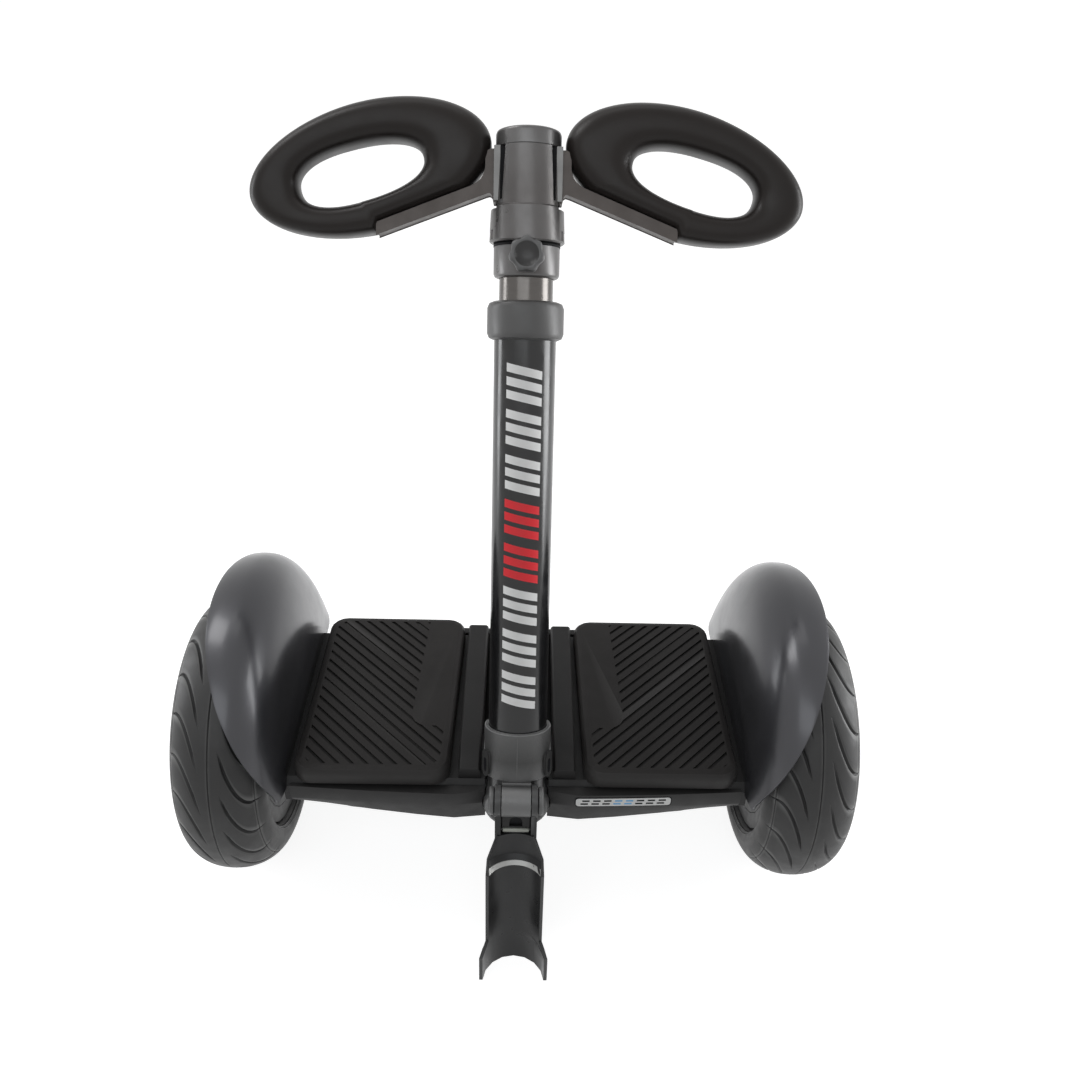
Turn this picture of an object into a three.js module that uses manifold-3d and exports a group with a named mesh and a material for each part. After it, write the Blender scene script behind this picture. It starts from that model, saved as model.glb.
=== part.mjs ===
// Self balancing personal transporter: two motor wheels, a standing deck between them, and a
// telescopic steering bar with a pair of knee pads. Millimetres, +Z up, the front faces -Y.
import * as THREE from 'three';
import { mergeVertices } from 'three/addons/utils/BufferGeometryUtils.js';
import Module from 'manifold-3d';

const wasm = await Module();
wasm.setup();

// Fits shared by all pieces
const gap = 0.3;
const overrun = 6;
const hingeGap = 0.8;
const weldDistance = 0.0001;

// Facets round each turned piece
const tyreFacets = 32;
const hubFacets = 24;
const fenderFacets = 44;
const barFacets = 32;
const pinFacets = 20;
const bearingFacets = 16;
const screwFacets = 12;
const roundSteps = 2;
const cornerSteps = 3;

// Wheels
const overallWidth = 578;
const wheelRoom = 15;
const tyreRadius = 127;
const tyreWidth = 78;
const tyreWall = 6;
const tyreCrownHeight = 30;
const tyreCrownShare = 2.1;
const tyreOuterSteps = 8;
const tyreInnerSteps = 3;
const treadGrooveWidth = 2.4;
const treadGrooveDepth = 1.8;
const tyreHeight = 44;
const beadWidth = 56;
const rimLip = 3;
const rimFlange = 5;
const rimDepth = 6;
const beadGap = 0.6;
const hubFace = 4;
const hubBossRadius = 30;
const hubBossRise = 5;
const motorCoverThickness = 5;
const axleRadius = 8;
const bearingRadius = 16;
const bearingWidth = 9;
const statorWidth = 34;
const statorToothDepth = 14;
const statorTeeth = 12;
const statorRootSteps = 1;
const magnetThickness = 4;
const airGap = 1.2;
const valveRadius = 3;
const valveLength = 8;

// Fenders
const fenderSideRoom = 3.5;
const fenderRoom = 20;
const fenderSetback = 6.5;
const fenderLift = 10;
const fenderInnerRadius = 103;
const fenderCrownShare = 2.3;
const fenderWall = 3;
const fenderFoot = 28;
const fenderEdgeReach = 70;
const fenderEdgeShare = 1.23;
const fenderEdgeSteps = 12;
const fenderOuterSteps = 14;
const fenderInnerSteps = 6;

// Deck shells, measured from the wheel axis
const deckHalfLength = 96;
const deckTaperLength = 84;
const deckStationShares = [0, 0.35, 0.7, 1];
const deckTop = 36;
const deckShoulder = 6;
const deckParting = 12;
const deckWall = 3;
const bellyZ = -42;
const bellyHalfLength = 58;
const sideZ = 0;
const endBellyRise = 10;
const endBellyTuck = 12;
const endSideRise = 15;
const endSideTuck = 7;
const deckTaperShare = 1.6;

// Front bumper and rear cover
const bumperDepth = 10;
const bumperEndTuck = 7;
const bumperEndRoom = 6;
const bumperTop = 34;
const bumperNose = 20;
const bumperLow = -5;
const bumperLowEnd = 14;
const bumperUndercut = 5;
const bumperFacetHalf = 52;
const bumperStationShares = [1, 0.85, 0.65, 0.45, 0.28, 0.14];
const rearDepth = 8;
const lampHalfWidth = 30;
const lampHeight = 10;
const lampPlaceShare = 0.62;
const lampZ = 19;
const lampDepth = 4;
const buttonX = -30;
const buttonZ = 19;
const buttonRadius = 8;
const buttonProud = 2.6;
const buttonDepth = 6;
const portX = 30;
const portRadius = 7;
const portWall = 2;
const portDepth = 12;
const capWidth = 26;
const capHeight = 22;
const capThickness = 3;

// Foot pads
const padOverhang = 2;
const padTrimRoom = 3.5;
const padInnerSplay = 4;
const padEndRoom = 11;
const padOuterFlare = 2;
const padCorner = 15;
const padThickness = 16;
const padEdgeRound = 7;
const ribPitch = 8.5;
const grooveWidth = 2.6;
const grooveDepth = 1.6;
const grooveMargin = 8;
const smoothWidth = 41;
const smoothLength = 144;
const smoothCorner = 14;
const padEdgeShares = [[0, 0], [0, 0.55], [0.12, 0.8], [0.38, 0.94], [0.85, 1]];
const padCornerSteps = 4;
const sensorSideRoom = 26;
const sensorEndRoom = 38;
const sensorThickness = 2.5;

// Deck trims and tunnel cover on both sides of the steering bar
const trimClearance = 3.5;
const trimWidth = 18.8;
const trimTop = 53.5;
const trimBackRoom = 4;
const trimStepRoom = 32;
const trimSeamRoom = 8;
const trimSeamZ = 45;
const trimChamfer = 1.8;
const tunnelRise = 8;
const tunnelCrownShare = 2;
const tunnelSteps = 10;
const tunnelFrontRoom = 58;

// Steering head, which turns about a shaft that runs fore and aft
const steerZ = 18;
const bossRadius = 28;
const bossProud = 11;
const bossLength = 45;
const bossRound = 5;
const bossClearance = 1;
const shaftRadius = 8;
const shaftLength = 114;
const shaftBearingRadius = 13.4;
const shaftBearingWidth = 10;
const frontBlockRoom = 16;
const rearBlockRoom = 22;
const blockWidth = 48;
const blockLength = 16;
const blockDrop = 23;
const springWire = 3;
const springTurns = 4;
const springPitch = 5;
const springWireSides = 5;
const springTurnSteps = 9;
const neckHalfWidth = 22;
const neckSwing = 4.5;
const neckFront = 12;
const neckBack = 22;
const neckCorner = 8;

// Steering bar, in its own upright frame: the rim of its socket is at 0, the front is -Y
const barLean = 25.9;
const rimSetback = 24;
const rimZ = 84.5;
const lowerTubeRadius = 24;
const lowerTubeWall = 2;
const tubeSlip = 1.3;
const innerTubeWall = 1.8;
const socketWall = 3.2;
const socketDepth = 40;
const socketFloor = 6;
const rimChamfer = 2;
const socketFootChamfer = 8;
const lugHeight = 19;
const lugRadius = 8;
const lugProud = 4;
const lugDrop = 24;
const lowerTubeTop = 326;
const collarGrip = 15;
const collarHeight = 29;
const collarWall = 5.6;
const collarRound = 5;
const innerTubeShow = 17;
const sleeveHeight = 25.4;
const sleeveWall = 4.5;
const sleeveRound = 3;
const tubeRunIn = 280;

// Star knob
const knobDrop = 11;
const knobRadius = 12.6;
const knobLobes = 7;
const knobLobeDepth = 1.7;
const knobLobeSteps = 4;
const knobThickness = 11;
const knobDishRadius = 8.5;
const knobDishDepth = 4;
const knobDishShares = [0.6, 0.8];
const knobBackShare = 0.9;
const knobFrontShare = 0.86;
const knobStandOff = 5;
const knobScrewRadius = 3;
const knobBossRadius = 7;

// Head that carries the knee pads
const headRingHeight = 25;
const headRingWall = 8.1;
const headRingTaper = 1.2;
const headTopWall = 4.3;
const headHeight = 68;
const headNotchWidth = 4;
const headNotchHeight = 7;
const headSlotWall = 1.2;
const headSlotHalfDepth = 15;
const capInset = 0.4;
const capHeightAbove = 12.5;
const capRound = 3;
const capFloorRecess = 1.5;

// Knee pads and their brackets, in the plane of the bar
const kneeReach = 96;
const kneeRise = 52.8;
const kneeHalfLength = 93;
const kneeHalfHeight = 47;
const kneeTilt = -12.4;
const kneeHoleShift = 4.5;
const kneeHoleDrop = 6.5;
const kneeHoleHalfLength = 49.5;
const kneeHoleHalfHeight = 20.5;
const kneeHoleTilt = -15;
const kneeThickInner = 42;
const kneeThickOuter = 32;
const kneeStations = 38;
const kneeSides = 12;
const kneeRoundShare = 0.9;
const bracketThickness = 24;
const bracketArm = 6.5;
const bracketEndInset = 7;
const bracketWedgeTaper = 4;
const bracketTopDrop = 1;
const bracketStartAngle = 180;
const bracketEndAngle = 264.6;
const bracketEndSlope = 0.15;
const bracketSteps = 12;

// Latch lever, hanging open in front of the bar, in a frame whose origin is its pin
const pinAhead = 30;
const pinBelowRim = 54.5;
const pinRadius = 4;
const pinHeadRadius = 11.3;
const pinHeadThickness = 4.6;
const knuckleRadius = 12.8;
const knuckleHalf = 11.7;
const earThickness = 4.8;
const leverFootRoom = 2.12;
const leverWall = 3;
const neckStart = 37;
const neckEnd = 59;
const channelStart = 66;
const flareRamp = 8;
const flareLength = 26.7;
const leverTubeGap = 0.5;
const leverPinGap = 1.2;
const flareWiden = 1.8;
const neckTopAngle = 28;
const neckEndAngle = 44;
const channelAngle = 62;
const flareAngle = 88;
const leverArcSteps = 8;
const catchTop = 17.5;
const catchBottom = 36;
const catchThickness = 4;
const catchWindowWidth = 11;
const catchWindowTop = 19;
const catchWindowHeight = 10;
const catchWindowShare = 3;
const catchWindowSteps = 8;
const catchPinDrop = 33.4;
const catchPinRadius = 1.5;

// Battery, control board and axle clamps inside the deck
const batteryEndRoom = 2;
const batteryFrontRoom = 0.6;
const batteryFrontShare = 0.55;
const batteryStepLength = 16;
const batteryFootRoom = 2;
const batteryCornerSteps = 1;
const batteryBackY = 6;
const batteryTop = -6;
const batteryFrontTop = -12;
const batteryFrontFlank = 5;
const boardEndRoom = 16;
const boardFrontRoom = 8;
const boardBackRoom = 10;
const boardThickness = 2;
const standOffHeight = 8;
const standOffRadius = 4;
const chipHeight = 9;
const chipWidth = 16;
const chipCount = 5;
const clampWidth = 44;
const clampLength = 46;
const clampDrop = 20;

const radians = Math.PI / 180;

// What follows from the sizes above
const beadRadius = tyreRadius - tyreHeight;
const wheelX = (overallWidth - tyreWidth) / 2;
const deckHalfWidth = wheelX - tyreWidth / 2 - wheelRoom;
const levelHalfWidth = deckHalfWidth - deckTaperLength;
const bumperHalfWidth = deckHalfWidth - bumperEndRoom;
const lampX = bumperHalfWidth * lampPlaceShare;
const fenderInnerX = deckHalfWidth + gap;
const fenderHalfWidth = tyreWidth / 2 + fenderSideRoom;
const fenderRadius = tyreRadius + fenderRoom;
const fenderCrownHeight = fenderRadius - fenderInnerRadius;
const fenderEdgeRise = fenderRadius;
const innerTubeRadius = lowerTubeRadius - lowerTubeWall - tubeSlip;
const socketRadius = lowerTubeRadius + socketWall;
const trimInnerX = socketRadius + trimClearance;
const trimOuterX = trimInnerX + trimWidth;
const trimBackY = deckHalfLength - trimBackRoom;
const trimStepY = -deckHalfLength + trimStepRoom;
const trimSeamY = -deckHalfLength + trimSeamRoom;
const tunnelFrontY = -deckHalfLength + tunnelFrontRoom;
const padHalfLength = deckHalfLength + padOverhang;
const padInnerBack = trimOuterX + padTrimRoom;
const padInnerFront = padInnerBack + padInnerSplay;
const padOuterBack = deckHalfWidth - padEndRoom;
const padOuterFront = padOuterBack + padOuterFlare;
const smoothOuterX = padInnerBack + smoothWidth;
const smoothFrontY = padHalfLength - smoothLength;
const sensorWidth = padOuterFront - padInnerFront - 2 * sensorSideRoom;
const sensorLength = 2 * (padHalfLength - sensorEndRoom);
const bossFrontY = -deckHalfLength - bossProud;
const bossBackY = bossFrontY + bossLength;
const shaftBackY = bossBackY + shaftLength;
const frontBlockY = bossBackY + frontBlockRoom;
const rearBlockY = shaftBackY - rearBlockRoom;
const rimY = -deckHalfLength + rimSetback;
const collarBottom = lowerTubeTop - collarGrip;
const collarRadius = lowerTubeRadius + collarWall;
const sleeveBottom = collarBottom + collarHeight + innerTubeShow;
const sleeveRadius = innerTubeRadius + sleeveWall;
const headRingRadius = innerTubeRadius + headRingWall;
const headTopRadius = innerTubeRadius + headTopWall;
const capRadius = headTopRadius - capInset;
const kneeCentreX = headTopRadius + kneeReach;
const kneeCentreZ = sleeveBottom + sleeveHeight + gap + kneeRise;
const kneeHoleX = kneeCentreX + kneeHoleShift;
const kneeHoleZ = kneeCentreZ - kneeHoleDrop;
const bracketEndX = kneeCentreX - bracketEndInset;
const batteryHalfWidth = levelHalfWidth - batteryEndRoom;
const bellyInside = bellyHalfLength - deckWall / 2;
const sideReach = deckHalfLength - deckWall - bellyInside;
const batteryFrontY = batteryFrontRoom - bellyInside - sideReach * batteryFrontShare;
const batteryStepY = batteryFrontY + batteryStepLength;
const batteryFootY = -bellyHalfLength + batteryFootRoom;
const boardHalfWidth = levelHalfWidth - boardEndRoom;
const boardFrontY = batteryBackY + boardFrontRoom;
const boardBackY = bellyHalfLength - boardBackRoom;
const leverPin = leverPinPlace();
const leverLength = tyreRadius + leverPin.z + leverFootRoom;
const flareEnd = leverLength - flareLength;
const flareStart = flareEnd - flareRamp;
const padSeatZ = deckTop + gap;
const padTopZ = padSeatZ + padThickness;
const shellTopInside = deckTop - deckWall;

// Geometry helpers

// The lever's pin, in the deck's frame
function leverPinPlace() {
  const lean = barLean * radians;
  return {
    y: rimY - pinBelowRim * Math.sin(lean) - pinAhead * Math.cos(lean),
    z: rimZ - pinBelowRim * Math.cos(lean) + pinAhead * Math.sin(lean),
  };
}

// Turns a closed geometry into a solid, with its faces pointing out
function solid(geometry) {
  const bare = geometry.clone();
  bare.deleteAttribute('normal');
  bare.deleteAttribute('uv');
  const merged = mergeVertices(bare, weldDistance);
  const positions = merged.attributes.position.array;
  const source = merged.index.array;
  const triangles = [];
  let volume = 0;
  const a = new THREE.Vector3();
  const b = new THREE.Vector3();
  const c = new THREE.Vector3();
  for (let i = 0; i < source.length; i += 3) {
    const [p, q, r] = [source[i], source[i + 1], source[i + 2]];
    if (p === q || q === r || r === p) {
      continue;
    }
    a.fromArray(positions, p * 3);
    b.fromArray(positions, q * 3);
    c.fromArray(positions, r * 3);
    volume += a.dot(b.cross(c));
    triangles.push(p, q, r);
  }
  if (volume < 0) {
    triangles.reverse();
  }
  const mesh = new wasm.Mesh({
    numProp: 3,
    vertProperties: Float32Array.from(positions),
    triVerts: Uint32Array.from(triangles),
  });
  mesh.merge();
  return new wasm.Manifold(mesh);
}

function cut(body, ...tools) {
  return tools.reduce((left, tool) => left.subtract(tool), body);
}

function join(body, ...others) {
  return others.reduce((sum, other) => sum.add(other), body);
}

function geometryOf(body) {
  const mesh = body.getMesh();
  const geometry = new THREE.BufferGeometry();
  const positions = new Float32Array(mesh.numVert * 3);
  for (let i = 0; i < mesh.numVert; i++) {
    for (let k = 0; k < 3; k++) {
      positions[i * 3 + k] = mesh.vertProperties[i * mesh.numProp + k];
    }
  }
  geometry.setAttribute('position', new THREE.BufferAttribute(positions, 3));
  geometry.setIndex(new THREE.BufferAttribute(Uint32Array.from(mesh.triVerts), 1));
  return geometry;
}

// A block between two corners
function block(low, high) {
  const size = new THREE.Vector3().subVectors(high, low);
  const box = new THREE.BoxGeometry(size.x, size.y, size.z);
  box.translate((low.x + high.x) / 2, (low.y + high.y) / 2, (low.z + high.z) / 2);
  return solid(box);
}

function at(x, y, z) {
  return new THREE.Vector3(x, y, z);
}

// Revolves [radius, height] points about +Z
function turned(points, segments) {
  const profile = points.map(([radius, height]) => new THREE.Vector2(radius, height));
  const lathe = new THREE.LatheGeometry(profile, segments);
  lathe.rotateX(Math.PI / 2);
  return lathe;
}

// The same, with a profile that closes on itself
function turnedRing(points, segments) {
  return turned([...points, points[0]], segments);
}

// A cylinder along x, y or z, from one end to the other of that axis
function rod(axis, radius, from, to, segments) {
  const cylinder = new THREE.CylinderGeometry(radius, radius, to - from, segments);
  if (axis === 'x') {
    cylinder.rotateZ(-Math.PI / 2);
    cylinder.translate((from + to) / 2, 0, 0);
  } else if (axis === 'y') {
    cylinder.translate(0, (from + to) / 2, 0);
  } else {
    cylinder.rotateX(Math.PI / 2);
    cylinder.translate(0, 0, (from + to) / 2);
  }
  return cylinder;
}

// Extrudes an outline of [y, z] points along x
function alongX(points, from, to) {
  const outline = new THREE.Shape(points.map(([y, z]) => new THREE.Vector2(y, z)));
  const prism = new THREE.ExtrudeGeometry(outline, { depth: to - from, bevelEnabled: false });
  prism.applyMatrix4(new THREE.Matrix4().set(0, 0, 1, from, 1, 0, 0, 0, 0, 1, 0, 0, 0, 0, 0, 1));
  return prism;
}

// Extrudes an outline of [x, z] points along y
function alongY(points, from, to) {
  const outline = new THREE.Shape(points.map(([x, z]) => new THREE.Vector2(x, z)));
  const prism = new THREE.ExtrudeGeometry(outline, { depth: to - from, bevelEnabled: false });
  prism.rotateX(Math.PI / 2);
  prism.translate(0, to, 0);
  return prism;
}

// Extrudes an outline of [x, y] points along z
function alongZ(points, from, to) {
  const outline = new THREE.Shape(points.map(([x, y]) => new THREE.Vector2(x, y)));
  const prism = new THREE.ExtrudeGeometry(outline, { depth: to - from, bevelEnabled: false });
  prism.translate(0, 0, from);
  return prism;
}

// Skins rings of equal count; a closed row joins its last ring to its first, an open one is capped
function loft(rings, closed = false) {
  const count = rings[0].length;
  const positions = rings.flat().flatMap((point) => [point.x, point.y, point.z]);
  const index = [];
  const last = closed ? rings.length : rings.length - 1;
  for (let i = 0; i < last; i++) {
    const next = (i + 1) % rings.length;
    for (let k = 0; k < count; k++) {
      const side = (k + 1) % count;
      const [p, q] = [i * count + k, i * count + side];
      const [r, s] = [next * count + side, next * count + k];
      index.push(p, q, r, p, r, s);
    }
  }
  if (!closed) {
    index.push(...capOf(rings[0], 0, true));
    index.push(...capOf(rings[rings.length - 1], (rings.length - 1) * count, false));
  }
  const geometry = new THREE.BufferGeometry();
  geometry.setAttribute('position', new THREE.Float32BufferAttribute(positions, 3));
  geometry.setIndex(index);
  return geometry;
}

// Triangles that close a flat ring, in the ring's own turn or against it
function capOf(ring, first, against) {
  const normal = new THREE.Vector3();
  ring.forEach((point, i) => {
    const next = ring[(i + 1) % ring.length];
    normal.add(new THREE.Vector3().crossVectors(point, next));
  });
  normal.normalize();
  const turn = new THREE.Quaternion().setFromUnitVectors(normal, at(0, 0, 1));
  const flat = ring.map((point) => {
    const laid = point.clone().applyQuaternion(turn);
    return new THREE.Vector2(laid.x, laid.y);
  });
  const faces = THREE.ShapeUtils.triangulateShape(flat, []);
  return faces.flatMap(([p, q, r]) => {
    const area = THREE.ShapeUtils.area([flat[p], flat[q], flat[r]]);
    const along = area > 0 ? [p, q, r] : [p, r, q];
    const order = against ? [along[0], along[2], along[1]] : along;
    return order.map((k) => first + k);
  });
}

// An outline with its corners rounded: corners are [u, v], each arc has the given steps
function rounded(corners, radius, steps) {
  const points = [];
  corners.forEach(([u, v], i) => {
    const [bu, bv] = corners[(i + corners.length - 1) % corners.length];
    const [nu, nv] = corners[(i + 1) % corners.length];
    const before = new THREE.Vector2(bu - u, bv - v).normalize();
    const after = new THREE.Vector2(nu - u, nv - v).normalize();
    const half = Math.acos(THREE.MathUtils.clamp(before.dot(after), -1, 1)) / 2;
    const middle = before.clone().add(after).normalize();
    const centre = new THREE.Vector2(u, v).addScaledVector(middle, radius / Math.sin(half));
    const start = new THREE.Vector2(u, v).addScaledVector(before, radius / Math.tan(half));
    const end = new THREE.Vector2(u, v).addScaledVector(after, radius / Math.tan(half));
    const from = Math.atan2(start.y - centre.y, start.x - centre.x);
    let sweep = Math.atan2(end.y - centre.y, end.x - centre.x) - from;
    if (sweep > Math.PI) {
      sweep -= 2 * Math.PI;
    }
    if (sweep < -Math.PI) {
      sweep += 2 * Math.PI;
    }
    for (let k = 0; k <= steps; k++) {
      const angle = from + sweep * k / steps;
      points.push([centre.x + radius * Math.cos(angle), centre.y + radius * Math.sin(angle)]);
    }
  });
  return points;
}

// Points of an arc about a centre, angles in degrees
function arc(cu, cv, radius, from, to, steps) {
  const points = [];
  for (let i = 0; i <= steps; i++) {
    const angle = (from + (to - from) * i / steps) * radians;
    points.push([cu + radius * Math.cos(angle), cv + radius * Math.sin(angle)]);
  }
  return points;
}

// A superellipse arch from one side over the crown to the other, as [across, up] points
function arch(halfWidth, height, power, steps) {
  const points = [];
  for (let i = 0; i <= steps; i++) {
    const angle = Math.PI * i / steps;
    const across = Math.cos(angle);
    const up = Math.sin(angle);
    const u = -Math.sign(across) * Math.abs(across) ** (2 / power);
    points.push([halfWidth * u, height * Math.abs(up) ** (2 / power)]);
  }
  return points;
}

function material(color, roughness, metalness) {
  return new THREE.MeshStandardMaterial({ color, roughness, metalness });
}

const look = {
  satinBlack: () => material('#1c1d1f', 0.5, 0.1),
  tubeBlack: () => material('#17181a', 0.32, 0.6),
  castGrey: () => material('#3a3b3d', 0.6, 0.5),
  fenderGrey: () => material('#2b2d33', 0.35, 0.5),
  softBlack: () => material('#211e1d', 0.75, 0),
  rubberBlack: () => material('#1b1b1c', 0.85, 0),
  steel: () => material('#8d8f92', 0.35, 0.9),
  brightSteel: () => material('#b9bbb8', 0.3, 0.9),
  boardGreen: () => material('#1f4a33', 0.6, 0),
  batteryBlue: () => material('#2e5f8a', 0.5, 0),
  copper: () => material('#8a5a3a', 0.5, 0.6),
  lampRed: () => material('#8c1214', 0.2, 0),
};

// Adds a named mesh to a group
function place(group, name, body, finish) {
  const mesh = new THREE.Mesh(geometryOf(body), finish());
  mesh.name = name;
  group.add(mesh);
  return mesh;
}

const transporter = new THREE.Group();
const deck = new THREE.Group();
const bar = new THREE.Group();
const lever = new THREE.Group();
transporter.add(deck);
deck.add(bar);
deck.add(lever);
bar.position.set(0, rimY, rimZ);
bar.rotation.x = -barLean * radians;

// Wheels: x runs outwards from the middle of the wheel, and the solid is turned about x

function aboutX(geometry, side) {
  geometry.rotateY(Math.PI / 2);
  if (side < 0) {
    geometry.rotateY(Math.PI);
  }
  return geometry;
}

function tyreSection() {
  const crownBase = tyreRadius - tyreCrownHeight;
  const outer = arch(tyreWidth / 2, tyreCrownHeight, tyreCrownShare, tyreOuterSteps);
  const profile = outer.map(([x, up]) => [crownBase + up, x]);
  const half = treadGrooveWidth / 2;
  const groove = [[tyreRadius, -half], [tyreRadius - treadGrooveDepth, -half],
    [tyreRadius - treadGrooveDepth, half], [tyreRadius, half]];
  const middle = (profile.length - 1) / 2;
  const grooved = [...profile.slice(0, middle), ...groove, ...profile.slice(middle + 1)];
  const wallHalf = tyreWidth / 2 - tyreWall;
  const inner = arch(wallHalf, tyreCrownHeight - tyreWall, tyreCrownShare, tyreInnerSteps);
  const hollow = inner.map(([x, up]) => [crownBase + up, x]).reverse();
  const beadHalf = beadWidth / 2;
  const beadFoot = beadRadius - rimLip + beadGap;
  const beadTop = beadRadius + rimFlange + beadGap;
  return [
    [beadTop, -beadHalf],
    ...grooved,
    [beadTop, beadHalf],
    [beadFoot, beadHalf],
    [beadFoot, beadHalf - tyreWall],
    [beadRadius, beadHalf - tyreWall],
    ...hollow,
    [beadRadius, -beadHalf + tyreWall],
    [beadFoot, -beadHalf + tyreWall],
    [beadFoot, -beadHalf],
  ];
}

function hubSection() {
  const seat = beadRadius - rimLip;
  const lip = beadRadius + rimFlange;
  const inside = beadWidth / 2 + gap;
  const outside = inside + rimLip;
  const drum = seat - rimDepth;
  return [
    [0, outside + hubBossRise],
    [hubBossRadius, outside + hubBossRise],
    [hubBossRadius + hubBossRise, outside - hubFace / 2],
    [drum - rimDepth, outside - hubFace / 2],
    [drum, outside],
    [lip, outside],
    [lip, inside],
    [seat, inside],
    [seat, -inside],
    [lip, -inside],
    [lip, -outside],
    [drum, -outside],
    [drum, inside - hubFace],
    [0, inside - hubFace],
  ];
}

function motorCoverSection() {
  const outside = beadWidth / 2 + gap + rimLip;
  const edge = beadRadius - rimLip - rimDepth - gap;
  const bore = bearingRadius + gap;
  const hubEdge = bore + motorCoverThickness;
  return [
    [bore, -outside - hubBossRise],
    [hubEdge, -outside - hubBossRise],
    [hubEdge + hubBossRise, -outside],
    [edge, -outside],
    [edge, -outside + motorCoverThickness],
    [hubEdge, -outside + motorCoverThickness],
    [hubEdge, -outside - hubBossRise + bearingWidth + motorCoverThickness],
    [bore, -outside - hubBossRise + bearingWidth + motorCoverThickness],
  ];
}

// A ring of laminations with open slots between its teeth
function statorBody() {
  const magnetInside = beadRadius - rimLip - rimDepth - gap - magnetThickness;
  const tip = magnetInside - airGap;
  const root = tip - statorToothDepth;
  const points = [];
  const step = 360 / statorTeeth;
  for (let i = 0; i < statorTeeth; i++) {
    const start = i * step;
    points.push(...arc(0, 0, root, start, start + step / 3, statorRootSteps));
    points.push(...arc(0, 0, tip, start + step / 3, start + step, roundSteps));
  }
  const prism = alongZ(points, -statorWidth / 2, statorWidth / 2);
  return solid(prism).subtract(solid(rod('z', axleRadius + gap, -statorWidth, statorWidth, pinFacets)));
}

function buildWheel(side, label) {
  const wheel = new THREE.Group();
  wheel.position.x = side * wheelX;
  deck.add(wheel);
  const outside = beadWidth / 2 + gap + rimLip;
  const drum = beadRadius - rimLip - rimDepth;
  const tyre = solid(aboutX(turnedRing(tyreSection(), tyreFacets), side));
  place(wheel, `${label}_tyre`, tyre, look.rubberBlack);
  const valveAngle = Math.PI / 2;
  const valveSeat = drum - rimDepth * 2;
  const stem = rod('x', valveRadius, 0, valveLength, screwFacets);
  stem.translate(outside - hubFace / 2 + gap, 0, valveSeat);
  const mirror = new THREE.Matrix4().makeScale(side, 1, 1);
  stem.rotateX(valveAngle);
  stem.applyMatrix4(mirror);
  const cover = solid(aboutX(turnedRing(motorCoverSection(), hubFacets), side));
  place(wheel, `${label}_motor_cover`, cover, look.castGrey);
  place(wheel, `${label}_valve_stem`, solid(stem), look.rubberBlack);
  const magnets = turnedRing([
    [drum - magnetThickness, -statorWidth / 2],
    [drum + gap, -statorWidth / 2],
    [drum + gap, statorWidth / 2],
    [drum - magnetThickness, statorWidth / 2],
  ], hubFacets);
  const hub = join(solid(aboutX(turned(hubSection(), hubFacets), side)), solid(aboutX(magnets, side)));
  place(wheel, `${label}_hub_shell`, hub, look.castGrey);
  const bearingBack = -outside - hubBossRise + motorCoverThickness / 2;
  const bearing = turnedRing([
    [axleRadius + gap, bearingBack],
    [bearingRadius, bearingBack],
    [bearingRadius, bearingBack + bearingWidth],
    [axleRadius + gap, bearingBack + bearingWidth],
  ], bearingFacets);
  place(wheel, `${label}_wheel_bearing`, solid(aboutX(bearing, side)), look.brightSteel);
  const stator = geometryOf(statorBody());
  place(wheel, `${label}_stator`, solid(aboutX(stator, side)), look.copper);
  const axleEnd = statorWidth / 2 + overrun;
  const axle = rod('x', axleRadius, clampInnerX() - wheelX, axleEnd, pinFacets);
  axle.applyMatrix4(mirror);
  place(wheel, `${label}_axle`, solid(axle), look.steel);
}

function clampInnerX() {
  return deckHalfWidth - deckWall - gap - clampWidth;
}

// Fender: a turned shell over the wheel, with a flat cheek against the deck, set back and up from
// the axle, and cut off along an edge that sweeps down to a narrow foot
function buildFender(side, label) {
  const centre = fenderInnerX + fenderHalfWidth;
  const base = fenderRadius - fenderCrownHeight;
  const outer = arch(fenderHalfWidth, fenderCrownHeight, fenderCrownShare, fenderOuterSteps);
  const innerHalf = fenderHalfWidth - fenderWall;
  const innerHeight = fenderCrownHeight - fenderWall;
  const inner = arch(innerHalf, innerHeight, fenderCrownShare, fenderInnerSteps);
  const cheek = axleRadius + fenderSetback + fenderLift;
  const profile = [
    [cheek, -fenderHalfWidth],
    ...outer.map(([x, up]) => [base + up, x]),
    ...inner.map(([x, up]) => [base + up, x]).reverse(),
    [cheek, -innerHalf],
  ];
  const shell = turnedRing(profile, fenderFacets);
  shell.rotateY(Math.PI / 2);
  shell.translate(centre, fenderSetback, fenderLift);
  const edge = [];
  for (let i = 0; i <= fenderEdgeSteps; i++) {
    const share = i / fenderEdgeSteps;
    const x = fenderInnerX + fenderWall + fenderEdgeReach * share ** fenderEdgeShare;
    edge.push([x, fenderFoot + fenderEdgeRise * share]);
  }
  const far = centre + fenderHalfWidth + overrun;
  const above = fenderRadius + fenderLift + overrun;
  const topX = fenderInnerX + fenderWall + fenderEdgeReach;
  const sweep = alongY([...edge, [topX + overrun, above], [far, above], [far, fenderFoot]],
    -above, above);
  const below = block(at(fenderInnerX - overrun, -above, -above), at(far, above, fenderFoot));
  const body = cut(solid(shell), solid(sweep), below);
  const mirror = new THREE.Matrix4().makeScale(side, 1, 1);
  const shape = geometryOf(body).applyMatrix4(mirror);
  place(deck, `${label}_fender`, solid(shape), look.fenderGrey);
}

// The share of the way from the deck's level middle to its end
function endShare(x) {
  const past = Math.max(0, Math.abs(x) - levelHalfWidth);
  return (past / (deckHalfWidth - levelHalfWidth)) ** deckTaperShare;
}

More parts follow.
